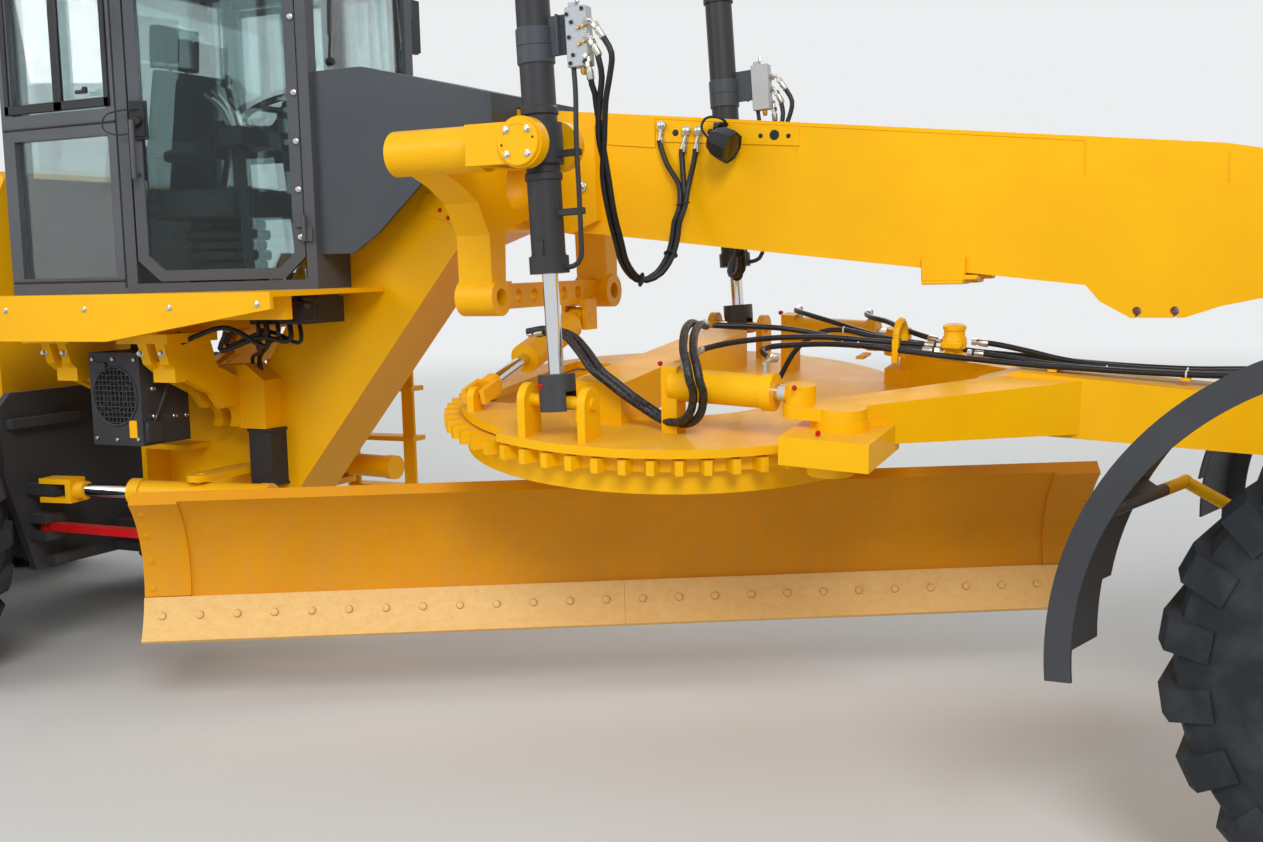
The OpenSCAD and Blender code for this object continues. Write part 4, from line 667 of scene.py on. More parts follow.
def lift_cylinder_details(side, which):
    """Valve block, collars and the steel tube along the barrel of a blade lift cylinder."""
    body = f"lift_barrel_{which}"
    axis = aimed(LIFT_TOP[side], LIFT_FOOT[side])
    out = -side
    valve_block(side, which, axis, out)
    collars = Form(f"barrel_collars_{which}", "dark_enamel")
    for low, high in BARREL_COLLARS:
        collars.turned([(60.5, low), (66, low + 6), (66, high - 6), (60.5, high)], axis, 44)
    collars.turned([(62, 380), (62, 437), (58, 445), (36, 446)], axis, 44)
    collars.turned([(50, -798), (60, -792), (60, -775)], axis, 44)
    collars.block((-16, out * 52, 330), (16, out * 68, 392), axis, 3)
    collars.done(body, "dark_paint")
    pipe = Form(f"barrel_tube_{which}", "dark_enamel")
    route = ((152, 14, -244), (156, 20, -150), (150, 24, 0), (146, 20, 150), (140, 14, 300), (132, 8, 395),
             (100, 6, 425), (60, 4, 428))
    pipe.tube(on_side(out, route), 9, axis)
    for z in (40, 240):
        pipe.block((50, 0, z - 12), (158, out * 20, z + 12), axis, 3)
    pipe.done(body, "dark_paint")


# The three hoses from a valve block: down from the block, through one loop, up to the beam's fittings
LIFT_HOSE_TOPS = (
    ((-2560, 880, 2572), (-2524, 880, 2506), (-2537, 872, 2434), (-2566, 850, 2355), (-2601, 800, 2238)),
    ((-2582, 880, 2524), (-2570, 880, 2480), (-2567, 872, 2430), (-2590, 850, 2350), (-2622, 800, 2236)),
    ((-2607, 880, 2444), (-2604, 875, 2410), (-2600, 862, 2380), (-2606, 842, 2340), (-2616, 790, 2240)))
LIFT_HOSE_LOOP = ((-2628, 740, 2110), (-2640, 680, 1990), (-2654, 600, 1885), (-2670, 530, 1815),
                  (-2662, 470, 1762), (-2634, 440, 1744), (-2592, 400, 1770), (-2570, 350, 1828),
                  (-2570, 300, 1895), (-2582, 250, 1960), (-2575, 215, 2015))
LIFT_HOSE_ENDS = (((-2600, 190, 2100), (-2655, 172, 2180), (-2684, 165, 2250), (-2690, 165, 2276)),
                  ((-2582, 184, 2096), (-2590, 174, 2160), (-2597, 165, 2215), (-2597, 165, 2238)),
                  ((-2564, 184, 2096), (-2550, 174, 2160), (-2541, 165, 2215), (-2540, 165, 2236)))
LIFT_HOSE_SPREAD = (Vector((-11, 6, 0)), Vector((0, -12, 0)), Vector((11, 6, 0)))
LIFT_HOSE_RADIUS = 10.5
# Place and direction of each tie round the three hoses
LIFT_HOSE_TIES = (((-2576, 208, 2030), (-0.1, 0.1, 1)), ((-2634, 470, 1748), (0.6, -0.6, -0.2)),
                  ((-2572, 340, 1838), (0, -0.5, 0.8)))
# Eye of each banjo fitting and top of its hose, as X and Z
BEAM_BANJOS = (((-2681, 2332), (-2690, 2276)), ((-2576, 2306), (-2597, 2238)), ((-2526, 2303), (-2540, 2236)))


def lift_hoses(side, which):
    """Three hoses from a lift cylinder's valve block, hanging in a loop and up to the beam's fittings."""
    for i in range(3):
        loop = [Vector(place) + LIFT_HOSE_SPREAD[i] for place in LIFT_HOSE_LOOP]
        route = [*LIFT_HOSE_TOPS[i], *loop, *LIFT_HOSE_ENDS[i]]
        hose = Form(f"lift_hose_{which}_{i + 1}", "hose_rubber")
        hose.tube(on_side(side, route), LIFT_HOSE_RADIUS, step=22)
        piece = hose.done(None, "cab_trim")
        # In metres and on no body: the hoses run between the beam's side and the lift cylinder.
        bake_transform(piece)
    ties = Form(f"lift_hose_ties_{which}", "cab_plastic")
    for (x, y, z), ahead in LIFT_HOSE_TIES:
        start = Vector((x, side * y, z))
        end = start + Vector((ahead[0], side * ahead[1], ahead[2])) * 10
        ties.turned([(25, -3), (27, -2), (27, 2), (25, 3)], aimed(start, end), 16)
    ties.done("front_frame", "cab_trim")
    banjos = Form(f"beam_fittings_{which}", "zinc_plate")
    for (eye_x, eye_z), (foot_x, foot_z) in BEAM_BANJOS:
        eye = Vector((eye_x, side * BEAM_HALF, eye_z))
        outward = aimed(eye, eye + Vector((0, side * 10, 0)))
        banjos.turned([(19, 0), (19, 20), (17, 22)], outward, 18)
        banjos.turned([(13, 21), (13, 29), (10, 31)], outward, 6)
        foot = Vector((foot_x, side * 165, foot_z))
        banjos.tube([eye + Vector((0, side * 12, -14)), foot], 8, sides=10)
        swage(banjos, aimed(foot + (eye - foot) * 0.62, foot + Vector((0, 0, -60))), 10)
    banjos.done("front_frame", "worn_steel")


# Outlines on the beam's right face as X and Z, anticlockwise as seen from the right
LAP_OUTLINES = (((-2921, 2274), (-2714, 2250), (-2714, 2366), (-2921, 2389)),
                ((-2711, 2273), (-2125, 2223), (-2125, 2294), (-2711, 2354)))
PORT_OUTLINE = ((-3836, 2050), (-3640, 1985), (-3615, 2075), (-3700, 2138), (-3800, 2120))
# X and both heights of each upright seam, and X, Z and radius of each hole
BEAM_SEAMS = ((-2136, 2186, 2222), (-1113, 2067, 2190), (-663, 2025, 2120))
BEAM_HOLES = ((-2626, 2302, 13), (-2278, 2269, 9), (-2223, 2269, 19), (-2168, 2262, 9), (-2480, 2295, 13))
SERVICE_PORTS = ((-3719, 2051), (-3649, 2053), (-3680, 2017))
NECK_BOLT = (-3018, 2113)


def beam_face(side):
    """Frame on a side of the beam: X along it, Y up and Z outward."""
    return shifted(0, side * BEAM_HALF, 0) @ turned_about(Z_AXIS, 90 + 90 * side) @ turned_about(X_AXIS, 90)


def beam_side_details(side, which):
    """Lap plates, weld seams, and near-black discs of painted shade for the holes, on one side of the beam.
    """
    laps = Form(f"beam_lap_plates_{which}", "yellow_enamel")
    for outline in LAP_OUTLINES:
        if side > 0:
            outline = [(-x, z) for x, z in outline][::-1]
        laps.plate(outline, 5, beam_face(side))
    seam_y = side * (BEAM_HALF + 0.5)
    for x, low, high in BEAM_SEAMS:
        laps.tube([(x, seam_y, low), (x, seam_y, high)], 3, sides=8)
    laps.tube([(-2711, seam_y, 2362), (-1113, seam_y, 2183)], 2.2, sides=8)
    laps.done("front_frame", "yellow_paint")
    # Painted shade: each hole is a near-black disc on the beam's face, dark for the shade inside the hole.
    holes = Form(f"beam_hole_shade_{which}", "cab_plastic")
    for x, z, radius in BEAM_HOLES:
        at = aimed((x, side * 155, z), (x, side * 164, z))
        holes.turned([(radius, 0), (radius, 0.8), (radius - 1, 1.0)], at, 20)
    holes.done("front_frame", "cab_trim")


def beam_details():
    """The beam's two sides, the bracket under it, the neck's bolts and the service ports."""
    for side, which in SIDES.items():
        beam_side_details(side, which)
    bracket = Form("beam_bracket", "yellow_enamel")
    for side in SIDES:
        bracket.block((-1670, side * 148, 1716), (-1513, side * 168, 1806), edge=6)
        bracket.block((-1668, side * 60, 1706), (-1520, side * 168, 1720))
    for right_y, left_y in ((-168, -90), (60, 138)):
        bracket.block((-1520, right_y, 1720), (-1470, left_y, 1738))
    bracket.done("front_frame", "yellow_paint")
    bolts = Form("neck_bolts", "zinc_plate")
    x, z = NECK_BOLT
    for side in SIDES:
        at = aimed((x, side * 192, z), (x, side * 300, z))
        bolts.turned([(20, 0), (20, 7), (17, 9)], at, 18)
        bolts.turned([(13, 9), (13, 18), (11, 20)], at, 6)
    bolts.done("front_frame", "worn_steel")
    ports = Form("service_ports", "red_enamel")
    for x, z in SERVICE_PORTS:
        ports.turned([(9, 0), (9, 10), (7, 13)], aimed((x, -BEAM_HALF, z), (x, -200, z)), 12)
    ports.done("front_frame", "red_paint")
    port_plate = Form("service_port_plate", "yellow_enamel")
    port_plate.plate(PORT_OUTLINE, 6, beam_face(-1))
    port_plate.done("front_frame", "yellow_paint")


COVER_BOLT_RING = 58


def yoke_covers(side, which):
    """Round covers over the ends of a lift trunnion, with their bolts and painted shade in their holes."""
    cover = Form(f"yoke_covers_{which}", "yellow_enamel")
    bolts = Form(f"yoke_bolts_{which}", "zinc_plate")
    holes = Form(f"yoke_hole_shade_{which}", "cab_plastic")
    middle = LIFT_TOP[side]
    for way in (side, -side):
        face = aimed(middle + Vector((0, way * 152, 0)), middle + Vector((0, way * 400, 0)))
        cover.turned([(80, 0), (80, 12), (77, 15), (60, 15), (59, 13)], face, 40)
        for degrees in (45, 135, 225, 315):
            a = math.radians(degrees)
            bolts.bolt(face @ shifted(COVER_BOLT_RING * math.cos(a), COVER_BOLT_RING * math.sin(a), 14), 9)
        # Painted shade: two near-black discs on each cover stand for the shade inside its holes.
        for a in (0.2, 3.3):
            holes.turned([(4.5, 0), (4.5, 0.8)], face @ shifted(62 * math.cos(a), 62 * math.sin(a), 14.6), 10)
    cover.done("front_frame", "yellow_paint")
    bolts.done("front_frame", "worn_steel")
    holes.done("front_frame", "cab_trim")


# Hose routes in the circle's frame. The sleeved pair runs from the shift cylinder round the drawbar's arm
SLEEVED_ROUTE = ((192, -253, 262), (214, -360, 284), (262, -520, 282), (328, -682, 250), (372, -752, 210),
                 (389, -770, 165), (388, -735, 110), (366, -706, 40), (330, -690, 0), (274, -654, -22),
                 (210, -628, -20), (150, -620, 6), (83, -660, 64), (20, -672, 112), (-39, -672, 152),
                 (-120, -620, 206), (-206, -563, 246), (-290, -548, 262), (-370, -556, 248))
SLEEVED_SPREAD = ((22, 23.4, 0), (-6, 0, 8))
DRAWBAR_ROUTES = {
    "front_hose_1": ((2330, 60, 190), (2200, 50, 175), (2050, 40, 166), (1900, 34, 158), (1700, 30, 158),
                     (1500, 40, 168), (1350, 60, 190), (1240, 70, 205), (1150, 72, 210)),
    "front_hose_2": ((2330, 10, 186), (2200, 5, 172), (2050, 2, 162), (1900, 0, 156), (1700, -8, 154),
                     (1500, -10, 158), (1350, -4, 168), (1230, 0, 178), (1150, 4, 180)),
    "front_hose_3": ((2330, -40, 190), (2200, -36, 174), (2050, -28, 164), (1900, -24, 158), (1700, -28, 156),
                     (1500, -36, 158), (1350, -40, 160), (1180, -50, 168), (1060, -60, 175), (900, -64, 186),
                     (760, -70, 196), (640, -60, 220), (500, -100, 246), (380, -180, 262), (250, -240, 268)),
    "front_hose_4": ((2330, 100, 196), (2200, 92, 178), (2050, 80, 168), (1900, 70, 160), (1700, 66, 158),
                     (1500, 76, 160), (1350, 92, 164), (1180, 100, 168), (1060, 104, 176), (900, 100, 190),
                     (760, 110, 200), (640, 130, 214), (540, 150, 196), (440, 160, 124), (380, 150, 20),
                     (350, 140, -60)),
    "turn_hose_1": ((1050, -14, 182), (950, -40, 186), (820, -80, 196), (690, -180, 214), (610, -280, 224),
                    (528, -370, 226), (520, -440, 222), (560, -492, 216), (612, -545, 217)),
    "turn_hose_2": ((1050, 14, 196), (930, 0, 200), (800, -30, 208), (660, -100, 224), (520, -200, 232),
                    (420, -300, 232), (352, -390, 228), (312, -470, 222), (302, -545, 217)),
    "turn_hose_3": ((1050, 30, 210), (950, 80, 222), (860, 150, 232), (780, 240, 238), (700, 320, 236),
                    (640, 430, 230), (614, 545, 217)),
    "turn_hose_4": ((1050, 40, 186), (940, 70, 188), (820, 110, 196), (700, 180, 204), (560, 280, 214),
                    (420, 380, 222), (330, 470, 222), (302, 545, 217)),
}
# Start of each swaged end and a point that it aims at
SWAGED_ENDS = (((1150, 70, 210), (1200, 70, 206)), ((1150, 4, 180), (1200, 2, 178)),
               ((1050, -14, 182), (1000, -26, 184)), ((1050, 14, 196), (1000, 10, 198)),
               ((1050, 30, 210), (1000, 50, 216)), ((1050, 40, 186), (1000, 54, 187)),
               ((612, -548, 217), (576, -506, 216)), ((302, -548, 217), (310, -490, 221)),
               ((302, 548, 217), (318, 492, 221)), ((614, 548, 217), (630, 480, 226)),
               ((194, -250, 262), (205, -310, 280)), ((215, -226, 266), (232, -290, 286)),
               ((250, -236, 268), (268, -200, 264)),
               ((-370, -556, 248), (-320, -551, 258)), ((-348, -530, 254), (-298, -525, 266)))
SLEEVE_RADIUS, DRAWBAR_HOSE_RADIUS = 15, 10.5
TURN_CYLINDER_Y = 610
HOSE_TIES = ((1900, -24, 158), (1900, 34, 158), (1640, -14, 156), (760, -70, 196), (700, -66, 206),
             (640, 130, 214))
GREASE_CAPS = ((726, -672, 150), (200, -610, 186), (836, -745, 20), (-86, -968, 150), (-86, 968, 150),
               (726, 672, 150), (200, 610, 186), (836, 745, 20))


def drawbar_hoses():
    """Hoses along the drawbar to the swivel block, the turn cylinders and the shift cylinder."""
    for i, (dx, dy, dz) in enumerate(SLEEVED_SPREAD, 1):
        sleeve = Form(f"sleeved_hose_{i}", "hose_sleeve", sharp=60)
        route = [(x + dx, y + dy, z + dz) for x, y, z in SLEEVED_ROUTE]
        sleeve.tube(route, SLEEVE_RADIUS, AT_CIRCLE, 14)
        sleeve.done("drawbar", "cab_trim")
    for name, route in DRAWBAR_ROUTES.items():
        hose = Form(name, "hose_rubber")
        hose.tube(route, DRAWBAR_HOSE_RADIUS, AT_CIRCLE, step=24)
        hose.done("drawbar", "cab_trim")
    fittings = Form("drawbar_fittings", "zinc_plate")
    for start, end in SWAGED_ENDS:
        swage(fittings, AT_CIRCLE @ aimed(start, end), 11)
    for side, x in product(SIDES, (290, 600)):
        y = side * TURN_CYLINDER_Y
        fittings.turned([(15, 0), (15, 14), (11, 16), (11, 36), (14, 38), (14, 52), (9, 54)],
                        AT_CIRCLE @ shifted(x, y, 168), 6)
        elbow = [(x, y, 214), (x + 6, y - side * 20, 222), (x + 14, y - side * 60, 216)]
        fittings.tube(elbow, 9, AT_CIRCLE, 10)
    fittings.done("drawbar", "worn_steel")


def swivel_block():
    """Hydraulic swivel on the drawbar's tongue, with the ring and the clamps that guide the hoses."""
    swivel = Form("swivel_block", "yellow_enamel")
    swivel.block((1050, -34, 138), (1150, 34, 158), AT_CIRCLE)
    swivel.turned([(40, 150), (40, 170), (32, 176), (32, 190), (44, 196), (44, 232), (38, 240), (38, 262),
                   (42, 264), (42, 276), (36, 280)], AT_CIRCLE @ shifted(1100, 4, 0), 20)
    swivel.block((1062, -50, 196), (1138, 50, 226), AT_CIRCLE, 8)
    guide_x, guide_half = 900, 62
    hoop(swivel, (guide_x, 0, 222), (0, 1), guide_half, 13, count=24, turn=math.pi, at=AT_CIRCLE)
    for y in (-guide_half, guide_half):
        swivel.block((guide_x - 12, y - 13, 136), (guide_x + 12, y + 13, 224), AT_CIRCLE, 3)
    for x in (1900, 1460, 760):
        swivel.block((x - 16, -50, 138), (x + 16, 50, 148), AT_CIRCLE, 2)
    swivel.done("drawbar", "yellow_paint")


def drawbar_trim():
    """White ties round the hoses, the turn cylinders' bare rods and the red caps on the grease points."""
    ties = Form("drawbar_ties", "white_nylon")
    for x, y, z in HOSE_TIES:
        at = AT_CIRCLE @ aimed((x, y, z), (x + 10, y, z))
        ties.turned([(12.5, -3), (14, -2), (14, 2), (12.5, 3)], at, 14)
    ties.done("drawbar", "cab_trim")
    rods = Form("turn_rods", "hard_chrome")
    for y in (-TURN_CYLINDER_Y, TURN_CYLINDER_Y):
        rods.tube([(637, y, 115), (676, y, 115)], 28.6, AT_CIRCLE, 24)
    rods.done("drawbar", "rod_chrome")
    caps = Form("grease_caps", "red_enamel")
    for x, y, z in GREASE_CAPS:
        at = AT_CIRCLE @ aimed((x, y, z), (x + 10, y * 1.05, z + 4))
        caps.turned([(9, 0), (9, 12), (6, 16)], at, 10)
    caps.done("drawbar", "red_paint")


# A door's wall: its hinge line, its length along X and Y, and the heights of the bolts in its glass
DOOR_START = (-4910, 750)
DOOR_RUN = (710, 370)
GLASS_BOLTS = (1953, 2152, 2351, 2552, 2860, 3080)
DOOR_WIRE = ((107, 16, 2497), (62, 34, 2495), (18, 44, 2488), (-28, 50, 2473), (-46, 50, 2440),
             (-42, 50, 2414), (-21, 46, 2398), (12, 44, 2390), (50, 34, 2396), (79, 16, 2404))


def door_wall(side):
    """Frame of a door's wall: X forward along it, Z up, and local Y times the side points outward."""
    ahead = Vector((DOOR_RUN[0], -side * DOOR_RUN[1], 0)).normalized()
    across = Vector((0, 0, 1)).cross(ahead)
    turn = Matrix((ahead, across, (0, 0, 1))).transposed().to_4x4()
    return Matrix.Translation((DOOR_START[0], side * DOOR_START[1], 0)) @ turn


def door_details(side, which):
    """Handle plate with its wire loop, lock rod and glass bolts of a door."""
    wall = door_wall(side)
    outward = turned_about(X_AXIS, -90 * side)
    body = f"door_{which}"
    handle = Form(f"door_handle_{which}", "cab_plastic")
    handle.block((52, side * 2, 2372), (128, side * 14, 2532), wall, 5)
    handle.block((62, side * 12, 2385), (118, side * 20, 2520), wall)
    handle.turned([(20, 0), (20, 22), (16, 28)], wall @ shifted(90, side * 18, 2448) @ outward, 18)
    rod_y = side * -22
    handle.tube([(88, rod_y, 2440), (88, rod_y, 2205)], 13, wall)
    handle.tube([(88, rod_y, 2205), (84, rod_y, 1985)], 7, wall)
    handle.done(body, "cab_trim")
    wire = Form(f"door_wire_{which}", "cab_plastic")
    wire.tube(on_side(side, DOOR_WIRE), 3.2, wall, 8, 12)
    wire.done(body, "cab_trim")
    bolts = Form(f"door_bolts_{which}", "zinc_plate")
    for z in GLASS_BOLTS:
        bolts.bolt(wall @ shifted(738, side * 8, z) @ outward, 8)
    bolts.done(body, "worn_steel")


def cab_side_details(side, which):
    """Sliding window's sash, weather strips and the wiper on one side of the cab."""
    sash = Form(f"window_sash_{which}", "cab_plastic")
    inner, outer = side * 742, side * 758
    low, high, bar = 2516, 3176, 30
    for back, front in ((-5570, -5240), (-5248, -4945)):
        sash.block((back, inner, low), (front, outer, 2556), edge=3)
        sash.block((back, inner, 3140), (front, outer, high), edge=3)
        sash.block((back, inner, low), (back + bar, outer, high), edge=3)
        sash.block((front - bar, inner, low), (front, outer, high), edge=3)
    latch_inner, latch_outer = side * 756, side * 770
    sash.block((-5125, latch_inner, 2576), (-5060, latch_outer, 2592))
    sash.block((-5085, latch_inner, 2584), (-5060, latch_outer, 2604))
    sash.done("front_frame", "cab_trim")
    strips = Form(f"cab_strips_{which}", "hose_rubber")
    for z in (2452, 1790):
        strips.tube([(-5590, side * 751, z), (-4925, side * 751, z)], 5, sides=8)
    strips.tube([(-4918, side * 748, 1760), (-4918, side * 748, 3180)], 6, sides=8)
    strips.done("front_frame", "cab_trim")
    wiper = Form(f"wiper_{which}", "cab_plastic")
    foot_y = side * 250
    wiper.tube([(-4188, foot_y, 2690), (-4182, side * 235, 2900), (-4182, side * 228, 3100)], 6, sides=8)
    wiper.tube([(-4180, foot_y, 2800), (-4180, side * 226, 3160)], 9, sides=6)
    wiper.turned([(18, 0), (18, 24), (14, 30)], aimed((-4196, foot_y, 2690), (-4100, foot_y, 2690)), 16)
    wiper.done("front_frame", "cab_trim")


def pedals():
    """Three ribbed pedals on their stems."""
    pads = Form("pedals", "zinc_plate")
    for y in (-300, -150, 170):
        at = shifted(-4460, y, 1830) @ turned_about(Y_AXIS, -58)
        pads.block((-70, -42, -4), (70, 42, 4), at, 3)
        for x in (-45, -15, 15, 45):
            pads.block((x - 5, -36, 3), (x + 5, 36, 8), at, 1.5)
        pads.tube([(-4440, y, 1736), (-4452, y, 1822)], 9)
    pads.done("front_frame", "cab_trim")


def control_levers():
    """Two long bent levers with knobs and four short ones on each side console."""
    levers = Form("long_levers", "zinc_plate")
    knobs = Form("lever_knobs", "cab_plastic")
    for side in SIDES:
        for i, (x, y) in enumerate(((-4700, 268), (-4670, 300))):
            foot = Vector((x, side * y, 2420))
            top = Vector((x - 150 + 40 * i, side * (y - 10), 2600 + 10 * i))
            levers.tube([foot, foot.lerp(top, 0.5) + Vector((14, 0, 20)), top], 7, sides=10)
            knobs.turned([(9, -20), (17, -15), (23, -4), (24, 4), (20, 15), (11, 22)],
                         aimed(top, top + (top - foot)), 18)
        for i in range(4):
            x, y = -4660 + 35 * i, side * (270 + 42 * i)
            levers.turned([(9, 0), (9, 60), (7, 64)], aimed((x, y, 2436), (x - 16, y, 2496)), 12)
    levers.done("front_frame", "rod_chrome")
    knobs.done("front_frame", "cab_trim")


def cab_details():
    """What stands on the cab's sides and what is seen through its glass, apart from the seat."""
    for side, which in SIDES.items():
        cab_side_details(side, which)
    mirror = Form("inner_mirror", "cab_plastic")
    mirror.block((-4868, -290, 2990), (-4826, -110, 3060), edge=16)
    mirror.tube([(-4846, -200, 3055), (-4840, -200, 3180)], 8)
    mirror.done("front_frame", "cab_trim")
    pedals()
    control_levers()


# How far a cushion thins at its rim and how deep its sewn channels are, as shares of its thickness,
# the power that rounds its corners, and the height of the cloth's wrinkles
RIM_THINNING = 0.42
CHANNEL_SHARE = 0.022
CORNER_POWER = 0.874
WRINKLE_MM, WRINKLES_PER_MM = 2.5, 0.02


def cushion_surface(u, v, w, size, crown, waist):
    """Place on a cushion's skin. u, v and w run from -1 to 1 over its length, width and depth."""
    x, y, z = (math.copysign(abs(math.sin(t * math.pi / 2)) ** CORNER_POWER, t) for t in (u, v, w))
    pull = 1 - waist * (1 - abs(u) ** 3) * (abs(v) ** 4) - waist * (1 - abs(v) ** 3) * (abs(u) ** 4)
    swell = 1 + crown * (1 - u * u) * (1 - v * v)
    rim = 1 - RIM_THINNING * max(abs(u), abs(v)) ** 6
    x, y, z = x * size[0] / 2 * pull, y * size[1] / 2 * pull, z * size[2] / 2 * swell * rim
    channel = CHANNEL_SHARE * size[2] * math.cos(v * 3 * math.pi) if w > 0 else 0
    wrinkle = noise.noise(Vector((x, y, z)) * WRINKLES_PER_MM) * WRINKLE_MM
    return Vector((x, y, z + channel + wrinkle))


def stuffed_pad(name, at, size, crown, waist):
    """A stuffed cushion: crowned faces, and sides that the waist pulls in between the corners."""
    steps = 20
    pad = Form(name, "seat_fabric", sharp=80)
    index = {}

    def vertex(u, v, w):
        key = (round(u, 4), round(v, 4), round(w, 4))
        if key not in index:
            index[key] = len(pad.points)
            pad.points.append(at @ cushion_surface(u, v, w, size, crown, waist))
        return index[key]

    ticks = [-1 + 2 * i / steps for i in range(steps + 1)]
    spans = list(zip(ticks, ticks[1:]))
    layers = [-1, -0.5, 0, 0.5, 1]
    for (a, b), (c, d), w in product(spans, spans, (-1, 1)):
        ring = [vertex(a, c, w), vertex(b, c, w), vertex(b, d, w), vertex(a, d, w)]
        pad.faces.append(ring[::w])
    for (a, b), (c, d), w in product(spans, zip(layers, layers[1:]), (-1, 1)):
        ring = [vertex(w, a, c), vertex(w, b, c), vertex(w, b, d), vertex(w, a, d)]
        pad.faces.append(ring[::w])
        ring = [vertex(a, w, c), vertex(b, w, c), vertex(b, w, d), vertex(a, w, d)]
        pad.faces.append(ring[::-w])
    piece = pad.done("front_frame", "cab_trim")
    return piece


def seat_shell():
    """Pan, back shell, bellows under the pan, arm rests and the headrest's rods."""
    shell = Form("seat_shell", "cab_plastic")
    shell.block((-5250, -235, 2060), (-4770, 235, 2086), edge=8)
    shell.block((-280, -225, -42), (280, 225, -28), shifted(-5250, 0, 2470) @ turned_about(Y_AXIS, -80), 6)
    shell.block((-5160, -150, 1738), (-4880, 150, 1770), edge=6)
    for i in range(6):
        half = 140 - 14 * (i % 2)
        shell.block((-5020 - half, -half, 1770 + 48 * i), (-5020 + half, half, 1818 + 48 * i), edge=14)
    for side in SIDES:
        shell.tube([(-5180, side * 262, 2130), (-5172, side * 290, 2240), (-5150, side * 298, 2340)], 16)
        shell.tube([(-5272, side * 50, 2740), (-5284, side * 50, 2840)], 6)
    return shell.done("front_frame", "cab_trim")


def operator_seat():
    """The operator's seat: two cushions, headrest and arm pads on their pan, back shell and pedestal."""
    seat_at = shifted(-5010, 0, 2128)
    back_at = shifted(-5222, 0, 2462) @ turned_about(Y_AXIS, -80)
    head_at = shifted(-5290, 0, 2868) @ turned_about(Y_AXIS, -86)
    pieces = [stuffed_pad("seat_cushion", seat_at, (500, 490, 112), crown=0.25, waist=0.03),
              stuffed_pad("back_cushion", back_at, (560, 470, 96), crown=0.3, waist=0.05),
              stuffed_pad("headrest", head_at, (196, 250, 84), crown=0.35, waist=0.04)]
    for side, which in SIDES.items():
        arm_at = shifted(-5025, side * 295, 2366)
        pieces.append(stuffed_pad(f"arm_pad_{which}", arm_at, (345, 66, 52), crown=0.2, waist=0.02))
    pieces.append(seat_shell())
    for piece in pieces:
        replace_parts(piece, "seat")


def lamp(forms, at, sides, shell, reflector, lens, phase=0.0):
    """One lamp: its housing, the bright ring inside and the lens, each as an outline from back to front."""
    for form, outline in zip(forms, (shell, reflector, lens)):
        form.turned(outline, at, sides, phase)


def side_lamps(side, forms):
    """Beam lamp, platform lamp and roof lamp of one side, with what holds them."""
    bodies = forms[0]
    back = Vector((-2440, side * 232, 2262))
    ahead = Vector((0.9, side * 0.12, -0.42)).normalized()
    lamp(forms, aimed(back, back + ahead * 100), 8,
         [(20, -6), (42, 0), (60, 34), (64, 74), (62, 92), (56, 92), (55, 86)],
         [(54, 84), (50, 85)], [(54, 86), (54, 89), (40, 92)], 0.5)
    stem = [back + Vector((10, -side * 4, 36)), (-2436, side * 200, 2318), (-2440, side * 160, 2316)]
    bodies.tube(stem, 9)
    bodies.block((-2466, side * 150, 2290), (-2414, side * 162, 2330), edge=3)
    wire = ((-2462, 228, 2270), (-2488, 222, 2306), (-2476, 214, 2340), (-2440, 206, 2346),
            (-2412, 190, 2334), (-2410, 158, 2318))
    bodies.tube(on_side(side, wire), 5, sides=8, step=10)
    back = Vector((-4150, side * 575, 1656))
    lamp(forms, aimed(back, back + Vector((1, side * 0.35, -0.12))), 4,
         [(26, -10), (44, 0), (52, 40), (54, 84), (50, 96), (45, 96), (44, 90)],
         [(44, 88), (42, 89)], [(43, 90), (43, 93), (34, 95)], 0.5)
    bodies.block((-4148, side * 575 - 8, 1690), (-4124, side * 575 + 8, 1714), edge=2)
    bodies.block((-4160, side * 540, 1706), (-4090, side * 610, 1714), edge=2)
    lamp(forms, aimed((-4690, side * 630, 3402), (-4600, side * 630, 3396)), 12,
         [(30, -6), (44, 4), (46, 60), (42, 68), (38, 68), (37, 62)],
         [(37, 60), (35, 61)], [(36, 62), (36, 65), (28, 67)])
    bodies.block((-4690, side * 630 - 20, 3350), (-4650, side * 630 + 20, 3366), edge=3)


def side_mirror(side, shells, glass, arms):
    """Mirror of one side on its bent arm, with the clamp on the cab's corner."""
    shells.block((-4738, side * 1002, 2932), (-4704, side * 1178, 3212), edge=14)
    shells.block((-4706, side * 1008, 2938), (-4694, side * 1172, 3206), edge=5)
    glass.block((-4742, side * 1014, 2946), (-4737, side * 1166, 3198), edge=2)
    root = (-4506, side * 573, 3214)
    arms.tube([root, (-4610, side * 830, 3216), (-4690, side * 1030, 3214), (-4716, side * 1090, 3205)], 11)
    arms.turned([(20, 0), (20, 26), (15, 30)], shifted(-4716, side * 1090, 3180), 14)
    arms.block((-40, -14, -12), (40, 14, 12),
               aimed((-4530, side * 560, 3214), root) @ turned_about(Y_AXIS, 90), 3)


